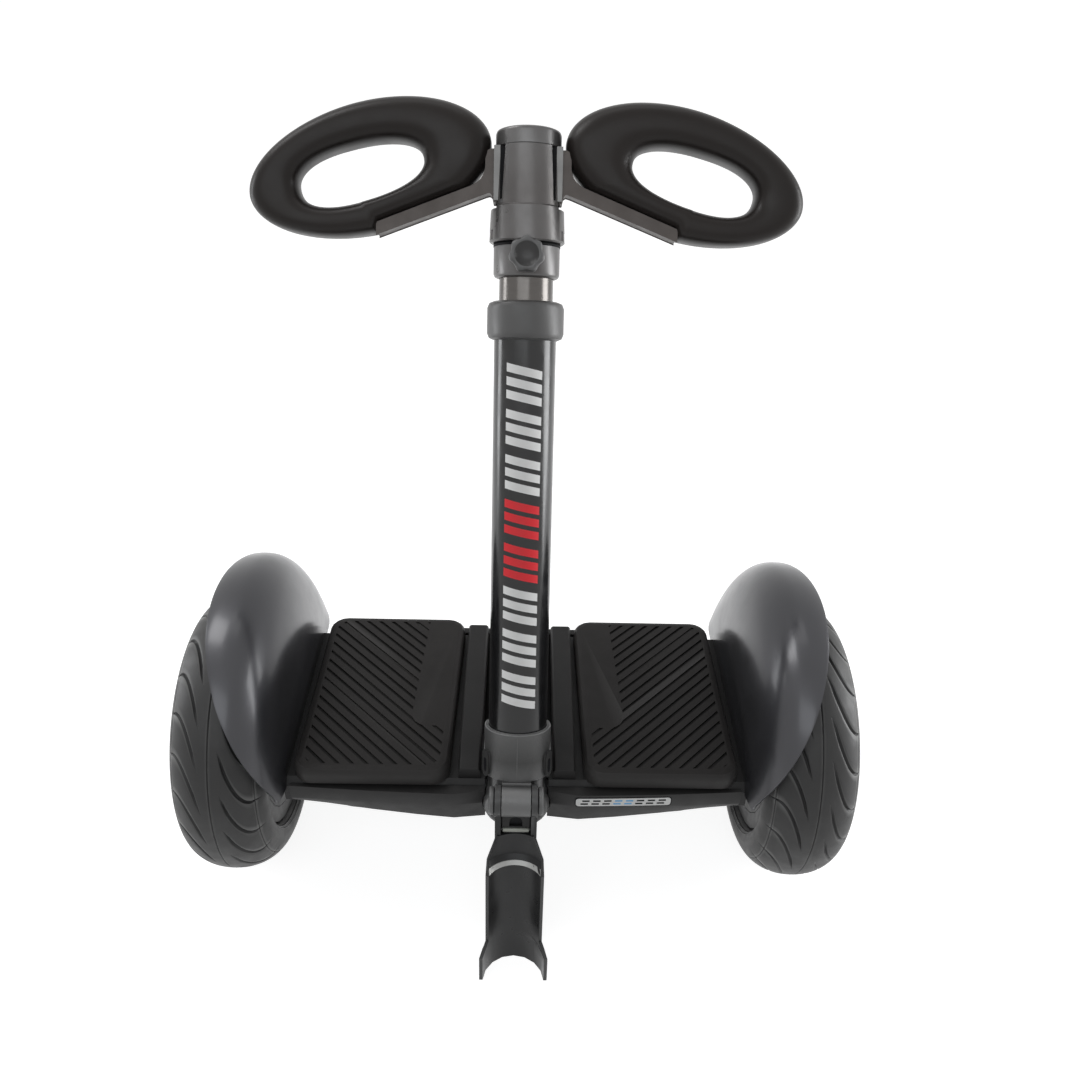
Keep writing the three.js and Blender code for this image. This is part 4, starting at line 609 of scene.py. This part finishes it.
# Centre x and z, half length, half height, tilt in degrees, roundness, and swell of one end
PAD_RIM = (117.6, 433.8, 92.6, 46.2, -15.4, 1.94, -0.02)
PAD_HOLE = (124.2, 429.9, 47.8, 19.6, -15.8, 2.35, 0.07)
PAD_THICK, PAD_THICKER, PAD_ROUNDNESS = 32, 10, 0.72
# Only below this height does the pad's rim follow the arm, a little above it
PAD_LOW_SIDE, SEAT_GAP, ARM_END_GAP = 436, 0.7, 0.6

ARM_END = 112.0
SEAT_X, SEAT_Z, SEAT_SLOPE = 40, 422.5, 0.392
UNDER_X, UNDER_Z, UNDER_SLOPE = 28, 418.4, 0.384
BRACKET_FRONT, BRACKET_BACK = -12, 6


def seat_line(x):
    """Height of the bracket arm's upper edge, where the pad rests on it."""
    return SEAT_Z - SEAT_SLOPE * (x - SEAT_X)


def egg(cx, cz, half_length, half_height, tilt, power, swell, angle):
    cos, sin = math.cos(angle), math.sin(angle)
    u = half_length * math.copysign(abs(cos) ** (2 / power), cos)
    v = half_height * math.copysign(abs(sin) ** (2 / power), sin) * (1 + swell * cos)
    c, s = math.cos(math.radians(tilt)), math.sin(math.radians(tilt))
    return cx + u * c - v * s, cz + u * s + v * c


def pad_outline(angle):
    x, z = egg(*PAD_RIM, angle)
    if x < ARM_END + ARM_END_GAP and z < PAD_LOW_SIDE:
        z = max(z, seat_line(x) + SEAT_GAP)
    return x, z


def make_knee_pad(side, label):
    around, sides = 200, 48
    points = []
    for i in range(around):
        angle = TAU * i / around
        rim_x, rim_z = pad_outline(angle)
        hole_x, hole_z = egg(*PAD_HOLE, angle)
        thick = PAD_THICK + PAD_THICKER * (1 - math.cos(angle)) / 2
        for k in range(sides):
            cos, sin = math.cos(TAU * k / sides), math.sin(TAU * k / sides)
            across = math.copysign(abs(cos) ** PAD_ROUNDNESS, cos)
            deep = math.copysign(abs(sin) ** PAD_ROUNDNESS, sin)
            mix = (1 - across) / 2
            points.append(in_bar(side * (rim_x + (hole_x - rim_x) * mix), deep * thick / 2,
                                 rim_z + (hole_z - rim_z) * mix))
    obj = outward(add_mesh(f"{label}_knee_cushion", points, grid_faces(around, sides, True, True),
                           "knee", "mast"))
    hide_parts(f"{label}_knee_pad")


def curve(start, bend, end, steps):
    """Points from start to end on a curve drawn towards the bend."""
    points = []
    for k in range(steps + 1):
        t = k / steps
        points.append(tuple((1 - t) ** 2 * a + 2 * t * (1 - t) * b + t * t * c
                            for a, b, c in zip(start, bend, end)))
    return points


def bracket_outline():
    """One bracket seen from the front: the plate at the head, a hollow curve, and the arm."""
    upper = [(x, seat_line(x)) for x in np.linspace(ARM_END, 45, 12)]
    hollow = curve((43, seat_line(43)), (32.0, 425.5), (31.2, 436.5), 12)
    crown = [(26.8 + 4.4 * math.cos(a), 443.6 + 4.4 * math.sin(a))
             for a in np.linspace(0, math.pi / 2, 8)]
    plate_edge = [(22.6, 448.0), (22.6, 414), (23.6, 411.6), (25.2, 411.6)]
    fillet = [(25.8 + 3.4 * (1 - math.cos(a)), 414.4 + 3.4 * math.sin(a))
              for a in np.linspace(0.1, 1.5, 6)]
    under = [(x, UNDER_Z - UNDER_SLOPE * (x - UNDER_X)) for x in np.linspace(32, ARM_END, 12)]
    return upper + hollow + crown + plate_edge + fillet + under


def make_bracket(side, label):
    obj = prism(f"{label}_cradle", bracket_outline(), BRACKET_FRONT, BRACKET_BACK,
                mirrored(side, in_bar), "bracket", "mast", "cast_alloy")
    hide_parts(f"{label}_pad_bracket")
    soften(obj, 0.6, angle=40)


for side, label in SIDES:
    make_knee_pad(side, label)
    make_bracket(side, label)


# Star knob: a lobed grip with a dished face, on its screw

SLEEVE_RADIUS, SLEEVE_BOTTOM, SLEEVE_HEIGHT = 25.2, 357, 25.4
KNOB_BACK = -SLEEVE_RADIUS - 5
KNOB_Z = SLEEVE_BOTTOM + SLEEVE_HEIGHT - 11
KNOB_RADIUS, KNOB_THICKNESS = 13.3, 11.5
KNOB_LOBES, LOBE_DEPTH, LOBE_STEPS = 7, 1.6, 12
# Distance from the knob's back, and share of the radius
KNOB_RIM = ((0.0, 0.84), (0.4, 0.9), (2.0, 1.0), (8.6, 1.0), (10.2, 0.965), (11.0, 0.9))
# Radius, and depth below the knob's front
DISH_RADIUS = 9.3
KNOB_DISH = ((DISH_RADIUS, 0), (DISH_RADIUS - 0.6, 0.5), (DISH_RADIUS * 0.7, 3.2),
             (DISH_RADIUS * 0.3, 4.0))
DISH_DEPTH = 4.1
SCREW_RADIUS, SCREW_LENGTH = 3, 7.3


def on_knob(radius, angle, from_back):
    return in_bar(radius * math.sin(angle), KNOB_BACK - from_back,
                  KNOB_Z + radius * math.cos(angle))


def make_knob():
    steps = KNOB_LOBES * LOBE_STEPS
    angles = [TAU * i / steps for i in range(steps)]
    points = []
    for from_back, scale in KNOB_RIM:
        for angle in angles:
            wave = (1 - math.cos(KNOB_LOBES * angle)) / 2
            points.append(on_knob((KNOB_RADIUS - LOBE_DEPTH * wave) * scale, angle, from_back))
    for radius, depth in KNOB_DISH:
        points += [on_knob(radius, angle, KNOB_THICKNESS - depth) for angle in angles]
    rows = len(KNOB_RIM) + len(KNOB_DISH)
    faces = grid_faces(rows, steps, wrap_columns=True)
    front, back = len(points), len(points) + 1
    points += [on_knob(0, 0, KNOB_THICKNESS - DISH_DEPTH), on_knob(0, 0, 0)]
    for i in range(steps):
        after = (i + 1) % steps
        faces.append(((rows - 1) * steps + i, (rows - 1) * steps + after, front))
        faces.append((after, i, back))
    obj = outward(add_mesh("knob_grip", points, faces, "knob", "knob"))
    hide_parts("star_knob")
    screw = [(0, 0), (SCREW_RADIUS, 0), (SCREW_RADIUS, SCREW_LENGTH), (0, SCREW_LENGTH)]
    ring_solid("knob_stem", screw, 20, lambda x, y, z: in_bar(x, KNOB_BACK + z, KNOB_Z + y),
               "bolt", "knob")


# Castings carved from their CAD solids: the head with its tapered slots, the socket with its lugs

# x and height seen from the front, and the y of the front and the back
HEAD_SLOT = [(16.9, 452), (20.9, 452), (20.6, 412.6), (19.1, 412.6)], -20, -11.2
RING_NOTCH = [(25.6, 384.4), (30, 384.4), (30, 391.5), (25.6, 391.5)], -14, -8.5
HEAD_WEDGE = [(21.1, 450.4), (25.1, 450.4), (25.1, 412.4), (20.9, 412.4)], -14.2, -12.25
# A dark sheet on each slot's floor: painted shade
SLOT_SHADE_SHEET = [(17.0, 450.4), (20.8, 450.4), (20.5, 412.7), (19.2, 412.7)], -13.8, -11.3
# A dark ring round the sleeve's top, under the head's ring: painted shadow
# Radius and height
SLEEVE_SHADOW_RING = [(21.2, 379.9), (25.45, 379.9), (25.45, 382.5), (21.2, 382.5)]

SOCKET_RADIUS = 27.5
SOCKET_SPREAD, FRONT_SPREAD = 111, 80
FRONT_FOOT, SIDE_FOOT = -40.4, -31.8
# The plain lug that the modelled one replaces, as x and height, and y from front to back
PLAIN_LUG = [(SOCKET_RADIUS, -36.5), (33, -36.5), (33, -12), (SOCKET_RADIUS, -12)], -12, 12
# Angle round the socket, middle height, width and height, and the radii of back and front
LUG_TURN = math.radians(63)
LUG_SHAPE, LUG_RADII = (-29.5, 10, 21), (25.0, 29.4)
# The recess is a dark sheet on the lug's face: painted shade
RECESS_SHADE_SHAPE, RECESS_SHADE_RADII = (-31, 4.6, 12), (29.2, 29.5)


def carved(name, node, cuts, look, body, width):
    """A copy of a CAD solid with tools cut out of it and its edges softened by width."""
    obj = bpy.data.objects.new(name, nodes[node].data.copy())
    bpy.context.scene.collection.objects.link(obj)
    weld_points(obj, 0.005)
    for k, tool in enumerate(cuts):
        step = obj.modifiers.new(f"tool_{k}", "BOOLEAN")
        step.object, step.operation, step.solver = tool, "DIFFERENCE", "EXACT"
    bpy.context.view_layer.update()
    evaluated = obj.evaluated_get(bpy.context.evaluated_depsgraph_get())
    mesh = bpy.data.meshes.new_from_object(evaluated)
    obj.modifiers.clear()
    obj.data = mesh
    for tool in cuts:
        bpy.data.objects.remove(tool)
    repaint(mesh, look)
    mesh.polygons.foreach_set("material_index", [0] * len(mesh.polygons))
    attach(obj, body)
    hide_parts(node)
    soften(obj, width)


def cutting_tool(outline, front, back, side):
    return prism("tool", outline, front, back, mirrored(side, in_bar), "cast", None, None)


def make_head():
    cuts = []
    for side, _ in SIDES:
        cuts.append(cutting_tool(*HEAD_SLOT, side))
        cuts.append(cutting_tool(*RING_NOTCH, side))
    carved("head_casting", "head_housing", cuts, "head", "mast", 0.35)
    for side, label in SIDES:
        wedge = prism(f"{label}_head_wedge", *HEAD_WEDGE, mirrored(side, in_bar),
                      "strip", "mast", "cast_alloy")
        soften(wedge, 0.3)
        # A dark sheet on the slot's floor, as painted shade
        prism(f"{label}_slot_shade_sheet", *SLOT_SHADE_SHEET, mirrored(side, in_bar),
              "ink", "mast", "cast_alloy")
    # A dark ring on the sleeve's top, where the head's ring casts its shadow: painted shadow
    ring_solid("sleeve_shadow_ring", SLEEVE_SHADOW_RING, 72, in_bar, "ink", "mast", closed=True)


def capsule(centre, width, height):
    """An upright outline with round ends."""
    r = width / 2
    outline = [(r * math.cos(a), centre + height / 2 - r + r * math.sin(a))
               for a in np.linspace(0, math.pi, 10)]
    outline += [(r * math.cos(a), centre - height / 2 + r + r * math.sin(a))
                for a in np.linspace(math.pi, TAU, 10)]
    return outline


def socket_profile(foot):
    """Radius and height round the wall: bore, rounded rim, outside and foot."""
    return ((25.2, -0.5), (26.8, -0.5), (27.3, -0.75), (SOCKET_RADIUS, -1.3),
            (SOCKET_RADIUS, foot * 0.6), (SOCKET_RADIUS, foot + 0.7), (27.2, foot),
            (24.6, foot), (24.6, foot * 0.6))


def make_socket_wall():
    """The smooth front and sides of the socket: deeper in front, where it meets the knuckle."""
    points, turns = [], range(-SOCKET_SPREAD, SOCKET_SPREAD + 1, 3)
    for turn in turns:
        a = math.radians(turn)
        profile = socket_profile(FRONT_FOOT if abs(turn) < FRONT_SPREAD else SIDE_FOOT)
        points += [in_bar(r * math.sin(a), -r * math.cos(a), z) for r, z in profile]
    n = len(profile)
    faces = grid_faces(len(turns), n, wrap_columns=True)
    faces += [tuple(range(n)), tuple(len(points) - n + k for k in range(n))]
    obj = outward(add_mesh("socket_wall", points, faces, "cast", "steering"))
    even_shading(obj)


def make_socket():
    cuts = [cutting_tool(*PLAIN_LUG, side) for side, _ in SIDES]
    make_socket_wall()
    carved("socket_casting", "steering_socket", cuts, "cast", "steering", 0.6)
    sin, cos = math.sin(LUG_TURN), math.cos(LUG_TURN)
    for side, label in SIDES:
        def on_socket(u, r, z):
            return in_bar(side * (r * sin + u * cos), -r * cos + u * sin, z)

        lug = prism(f"{label}_socket_lug", capsule(*LUG_SHAPE), *LUG_RADII, on_socket,
                    "cast", "steering", "painted_steel")
        soften(lug, 0.9)
        # A dark sheet where the recess would be: painted shade
        prism(f"{label}_lug_recess_shade", capsule(*RECESS_SHADE_SHAPE), *RECESS_SHADE_RADII, on_socket,
              "ink", "steering", "painted_steel")


make_knob()
make_head()
make_socket()


# Thin pieces on a surface: bars up the tube, the bumper's plate, the lever's band of painted
# highlight, catch and seam

# Radius of a bar's back and front, a little off the lower tube
TUBE_LAYER = (23.7, 24.12)
BAR_UNITS, RED_UNITS, BAR_START, BAR_PITCH = 8, (3, 4), 23.0, 34.5
BARS_IN_UNIT = ((0, 6.4), (10.0, 16.4), (20.0, 26.4))
BAR_SLANT, BAR_SPREAD = -0.09, 34

BUMPER_HALF_WIDTH, BUMPER_FRONT, BUMPER_SWEEP = 190, -106.3, 7
BUMPER_NOTCH_X, BUMPER_NOTCH = 52, 10
LEAN_FROM, LEAN_HEIGHT, LEAN_DEPTH = 20, 14, 0.3
# Left, right, lower and upper border, and corner radius
BUMPER_PLATE = (50, 130, 21.3, 30.5, 2.6)
CORNER_STEPS, EDGE_STEPS, CORNER_SHARE = 6, 16, 0.999
# How far a layer reaches past the plate, how far off the bumper it lies, and its look
PLATE_LAYERS = ((0.9, 0.02, "ink"), (0.0, 0.12, "white"))
MARK_LAYER, LAYER_THICKNESS = 0.22, 0.12
MARK_COUNT, BLUE_MARKS, MARK_START, MARK_PITCH, MARK_WIDTH = 8, (3, 4), 54.0, 9.2, 6.2
MARK_ROWS, MARK_SLANT = ((23.2, 25.0), (26.8, 28.6)), 0.35

# Where the lever's neck steps down to its channel, with its pale band of painted highlight:
# heights below the pin, radii and spreads
STEP_TOP, STEP_HEIGHT, STEP_AXIS_Y = 59, 7, -30
NECK_RADIUS, CHANNEL_RADIUS = 31.2, 24.5
NECK_SPREAD, SPREAD_GROWTH = 44, 18
BAND_TOP, BAND_BOTTOM = 62.6, 65.6
BAND_BACK, BAND_FRONT, BAND_FLARE, BAND_REACH = 0.4, -0.95, 0.6, 0.97

# x and height below the lever's pin, and the y of the front and the back
CATCH_WINDOW = [(5.3 * math.cos(a), -24.2 + 5.0 * math.sin(a))
                for a in np.linspace(0, math.pi, 15)] + [(-5.3, -28.9), (5.3, -28.9)], 3.4, 4.8
LATCH_TOP, LATCH_SLOPE = -18.6, 0.17
LATCH_BACK = [(-13.4, LATCH_TOP), (13.4, LATCH_TOP), (15.6, -45.0), (-15.6, -45.0)], 8.3, 9.9
# Radius and x
CATCH_BAR = [(0, -10.9), (1.5, -10.9), (2.1, -10.3), (2.1, 10.3), (1.5, 10.9), (0, 10.9)]
CATCH_BAR_Y, CATCH_BAR_Z = 1.5, -32.6

SEAM_LAYER, SEAM_HALF_WIDTH, SEAM_FOOT, SEAM_TOP = (27.2, 27.62), 0.3, -39, -3


def on_tube(u, v, side):
    """u is the angle round the lower tube in degrees, v the height up the bar."""
    radius, angle = TUBE_LAYER[side], math.radians(u)
    return in_bar(radius * math.sin(angle), -radius * math.cos(angle), v)


def make_tube_bars():
    """Plain slanted bars up the tube, white and red, with no letters in them."""
    for i in range(BAR_UNITS):
        look = "red" if i in RED_UNITS else "white"
        z = BAR_START + i * BAR_PITCH
        for k, (low, high) in enumerate(BARS_IN_UNIT):
            plate(f"tube_bar_{i}_{k}", np.linspace(-BAR_SPREAD, BAR_SPREAD, 17),
                  lambda u: z + low + BAR_SLANT * u, lambda u: z + high + BAR_SLANT * u,
                  on_tube, look, "steering")


def bumper_face(x):
    """y of the bumper's front, which sweeps back to the ends and beside the drum."""
    share = min(1, abs(x) / BUMPER_HALF_WIDTH)
    notch = max(0, 1 - abs(x) / BUMPER_NOTCH_X) * BUMPER_NOTCH
    return BUMPER_FRONT + BUMPER_SWEEP * share ** 2 + notch


def on_bumper(layer):
    """The bumper's front, which leans back a little upwards, at a distance in mm."""
    def place(u, v, side):
        leaned = (v - LEAN_FROM) / LEAN_HEIGHT * LEAN_DEPTH
        return in_deck(u, bumper_face(u) + leaned - (layer, layer + LAYER_THICKNESS)[side], v)
    return place


def rounded_edges(u0, u1, v0, v1, radius):
    """Steps along a rectangle with round corners, and its lower and upper border."""
    corner = [radius * (1 - math.cos(math.pi / 2 * k / CORNER_STEPS))
              for k in range(CORNER_STEPS + 1)]
    us = [u0 + step for step in corner]
    us += list(np.linspace(u0 + radius, u1 - radius, EDGE_STEPS))[1:-1]
    us += [u1 - step for step in reversed(corner)]

    def inset(u):
        near = min(u - u0, u1 - u, radius)
        return (radius - math.sqrt(max(0, radius ** 2 - (radius - near) ** 2))) * CORNER_SHARE
    return us, lambda u: v0 + inset(u), lambda u: v1 - inset(u)


def make_bumper_plate():
    """A pale plate in a dark rim with plain marks on it, and no letters."""
    u0, u1, v0, v1, radius = BUMPER_PLATE
    for k, (grow, layer, look) in enumerate(PLATE_LAYERS):
        us, low, high = rounded_edges(u0 - grow, u1 + grow, v0 - grow, v1 + grow, radius + grow)
        plate(f"bumper_plate_{k}", us, low, high, on_bumper(layer), look,
              "chassis")
    for i in range(MARK_COUNT):
        look = "blue" if i in BLUE_MARKS else "ink"
        for k, (low, high) in enumerate(MARK_ROWS):
            start = MARK_START + i * MARK_PITCH + (low - MARK_ROWS[0][0]) * MARK_SLANT
            plate(f"bumper_mark_{i}_{k}", np.linspace(start, start + MARK_WIDTH, 5),
                  lambda u: low, lambda u: high, on_bumper(MARK_LAYER), look,
                  "chassis")


def make_lever_highlight():
    """A painted highlight: the pale band where the lever's neck steps down to its channel."""
    def place(u, v, side):
        share = (v - STEP_TOP) / STEP_HEIGHT
        radius = NECK_RADIUS + (CHANNEL_RADIUS - NECK_RADIUS) * share
        radius += (BAND_BACK, BAND_FRONT + BAND_FLARE * share)[side]
        angle = math.radians(90 + u * (NECK_SPREAD + SPREAD_GROWTH * share))
        return in_lever(radius * math.cos(angle), STEP_AXIS_Y + radius * math.sin(angle), -v)
    plate("lever_band", np.linspace(-BAND_REACH, BAND_REACH, 33),
          lambda u: BAND_TOP, lambda u: BAND_BOTTOM,
          place, "edge", "lever")


def make_catch_face():
    """The lever's back behind the catch, the catch's dark arched window and its pale pin."""
    prism("latch_back", *LATCH_BACK,
          lambda x, y, z: in_lever(x, y + (z - LATCH_TOP) * LATCH_SLOPE, z),
          "shell", "lever", "painted_steel")
    prism("catch_window", *CATCH_WINDOW, in_lever, "ink", "catch", "satin_plastic")
    ring_solid("catch_bar", CATCH_BAR, 20,
               lambda x, y, z: in_lever(z, CATCH_BAR_Y + x, CATCH_BAR_Z + y),
               "pale", "catch")


def make_socket_seam():
    """The parting line of the casting, down the front of the socket."""
    plate("socket_seam", np.linspace(-SEAM_HALF_WIDTH, SEAM_HALF_WIDTH, 3),
          lambda u: SEAM_FOOT, lambda u: SEAM_TOP,
          lambda u, v, side: in_bar(u, -SEAM_LAYER[side], v),
          "collar", "steering")


make_tube_bars()
make_bumper_plate()
make_lever_highlight()
make_catch_face()
make_socket_seam()


# Floor, lights and world

FLOOR_SIZE = 12
FLOOR_GREYS = ((0.48, 0.48, 0.48), (0.52, 0.52, 0.52))
# Strength of the floor's and the world's own white: for light on the object, and as seen
FLOOR_GLOW = (0.0, 0.86)
WORLD_GLOW = (0.3, 1.0)
# Place, aim, size, power in watts and tint
LAMPS = {
    "right_window": ((1.7, 0.22, 0.6), (0, 0, 0.3), (0.75, 1.2), 22, (0.98, 0.99, 1.0)),
    "left_window": ((-1.7, 0.4, 0.6), (0, 0, 0.3), (0.45, 1.2), 10, (0.96, 0.98, 1.0)),
    "ceiling": ((-0.95, 0.35, 1.75), (0, 0, 0.3), (0.5, 0.8), 8, (1, 1, 1)),
    "front": ((-0.35, -1.5, 1.85), (0, 0, 0.4), (1.9, 0.9), 9, (0.93, 0.97, 1.0)),
    "top": ((0.0, 0.6, 2.3), (0, 0, 0.3), (1.2, 0.6), 2.5, (1, 1, 1)),
}


def seen_directly(tree, other, direct):
    """One value for rays from the camera, off gloss or through glass, and another for the rest."""
    path = tree.nodes.new("ShaderNodeLightPath")
    total = path.outputs["Is Camera Ray"]
    for name in ("Is Glossy Ray", "Is Transmission Ray"):
        add = tree.nodes.new("ShaderNodeMath")
        add.operation = "MAXIMUM"
        tree.links.new(total, add.inputs[0])
        tree.links.new(path.outputs[name], add.inputs[1])
        total = add.outputs["Value"]
    choose = tree.nodes.new("ShaderNodeMapRange")
    choose.inputs["To Min"].default_value = other
    choose.inputs["To Max"].default_value = direct
    tree.links.new(total, choose.inputs["Value"])
    return choose.outputs["Result"]


def make_stage():
    corners = [(x * FLOOR_SIZE, y * FLOOR_SIZE, 0)
               for x, y in ((-1, -1), (1, -1), (1, 1), (-1, 1))]
    mesh = bpy.data.meshes.new("floor")
    mesh.from_pydata(corners, [], [(0, 1, 2, 3)])
    floor = bpy.data.objects.new("floor", mesh)
    bpy.context.scene.collection.objects.link(floor)
    material = bpy.data.materials.new("floor_white")
    tree, shader, coords = tree_of(material)
    shader.inputs["Roughness"].default_value = 0.9
    shader.inputs["Specular IOR Level"].default_value = 0.1
    tone = mixed(tree, noise(tree, coords, 3), *FLOOR_GREYS)
    tree.links.new(tone, shader.inputs["Base Color"])
    shader.inputs["Emission Color"].default_value = (1, 1, 1, 1)
    tree.links.new(seen_directly(tree, *FLOOR_GLOW), shader.inputs["Emission Strength"])
    mesh.materials.append(material)


def make_lamp(name, spot, aim, size, power, tint):
    data = bpy.data.lights.new(name, "AREA")
    data.shape = "RECTANGLE"
    data.size, data.size_y = size
    data.energy = power
    data.color = tint
    obj = bpy.data.objects.new(name, data)
    obj.location = spot
    obj.rotation_euler = (Vector(aim) - Vector(spot)).to_track_quat("-Z", "Y").to_euler()
    obj.visible_camera = False
    bpy.context.scene.collection.objects.link(obj)


def make_world():
    world = bpy.data.worlds.new("world")
    bpy.context.scene.world = world
    world.use_nodes = True
    tree = world.node_tree
    sky = tree.nodes.get("Background")
    sky.inputs["Color"].default_value = (1, 1, 1, 1)
    tree.links.new(seen_directly(tree, *WORLD_GLOW), sky.inputs["Strength"])


make_stage()
for name, setting in LAMPS.items():
    make_lamp(name, *setting)
make_world()
bpy.context.scene.view_settings.view_transform = "Standard"
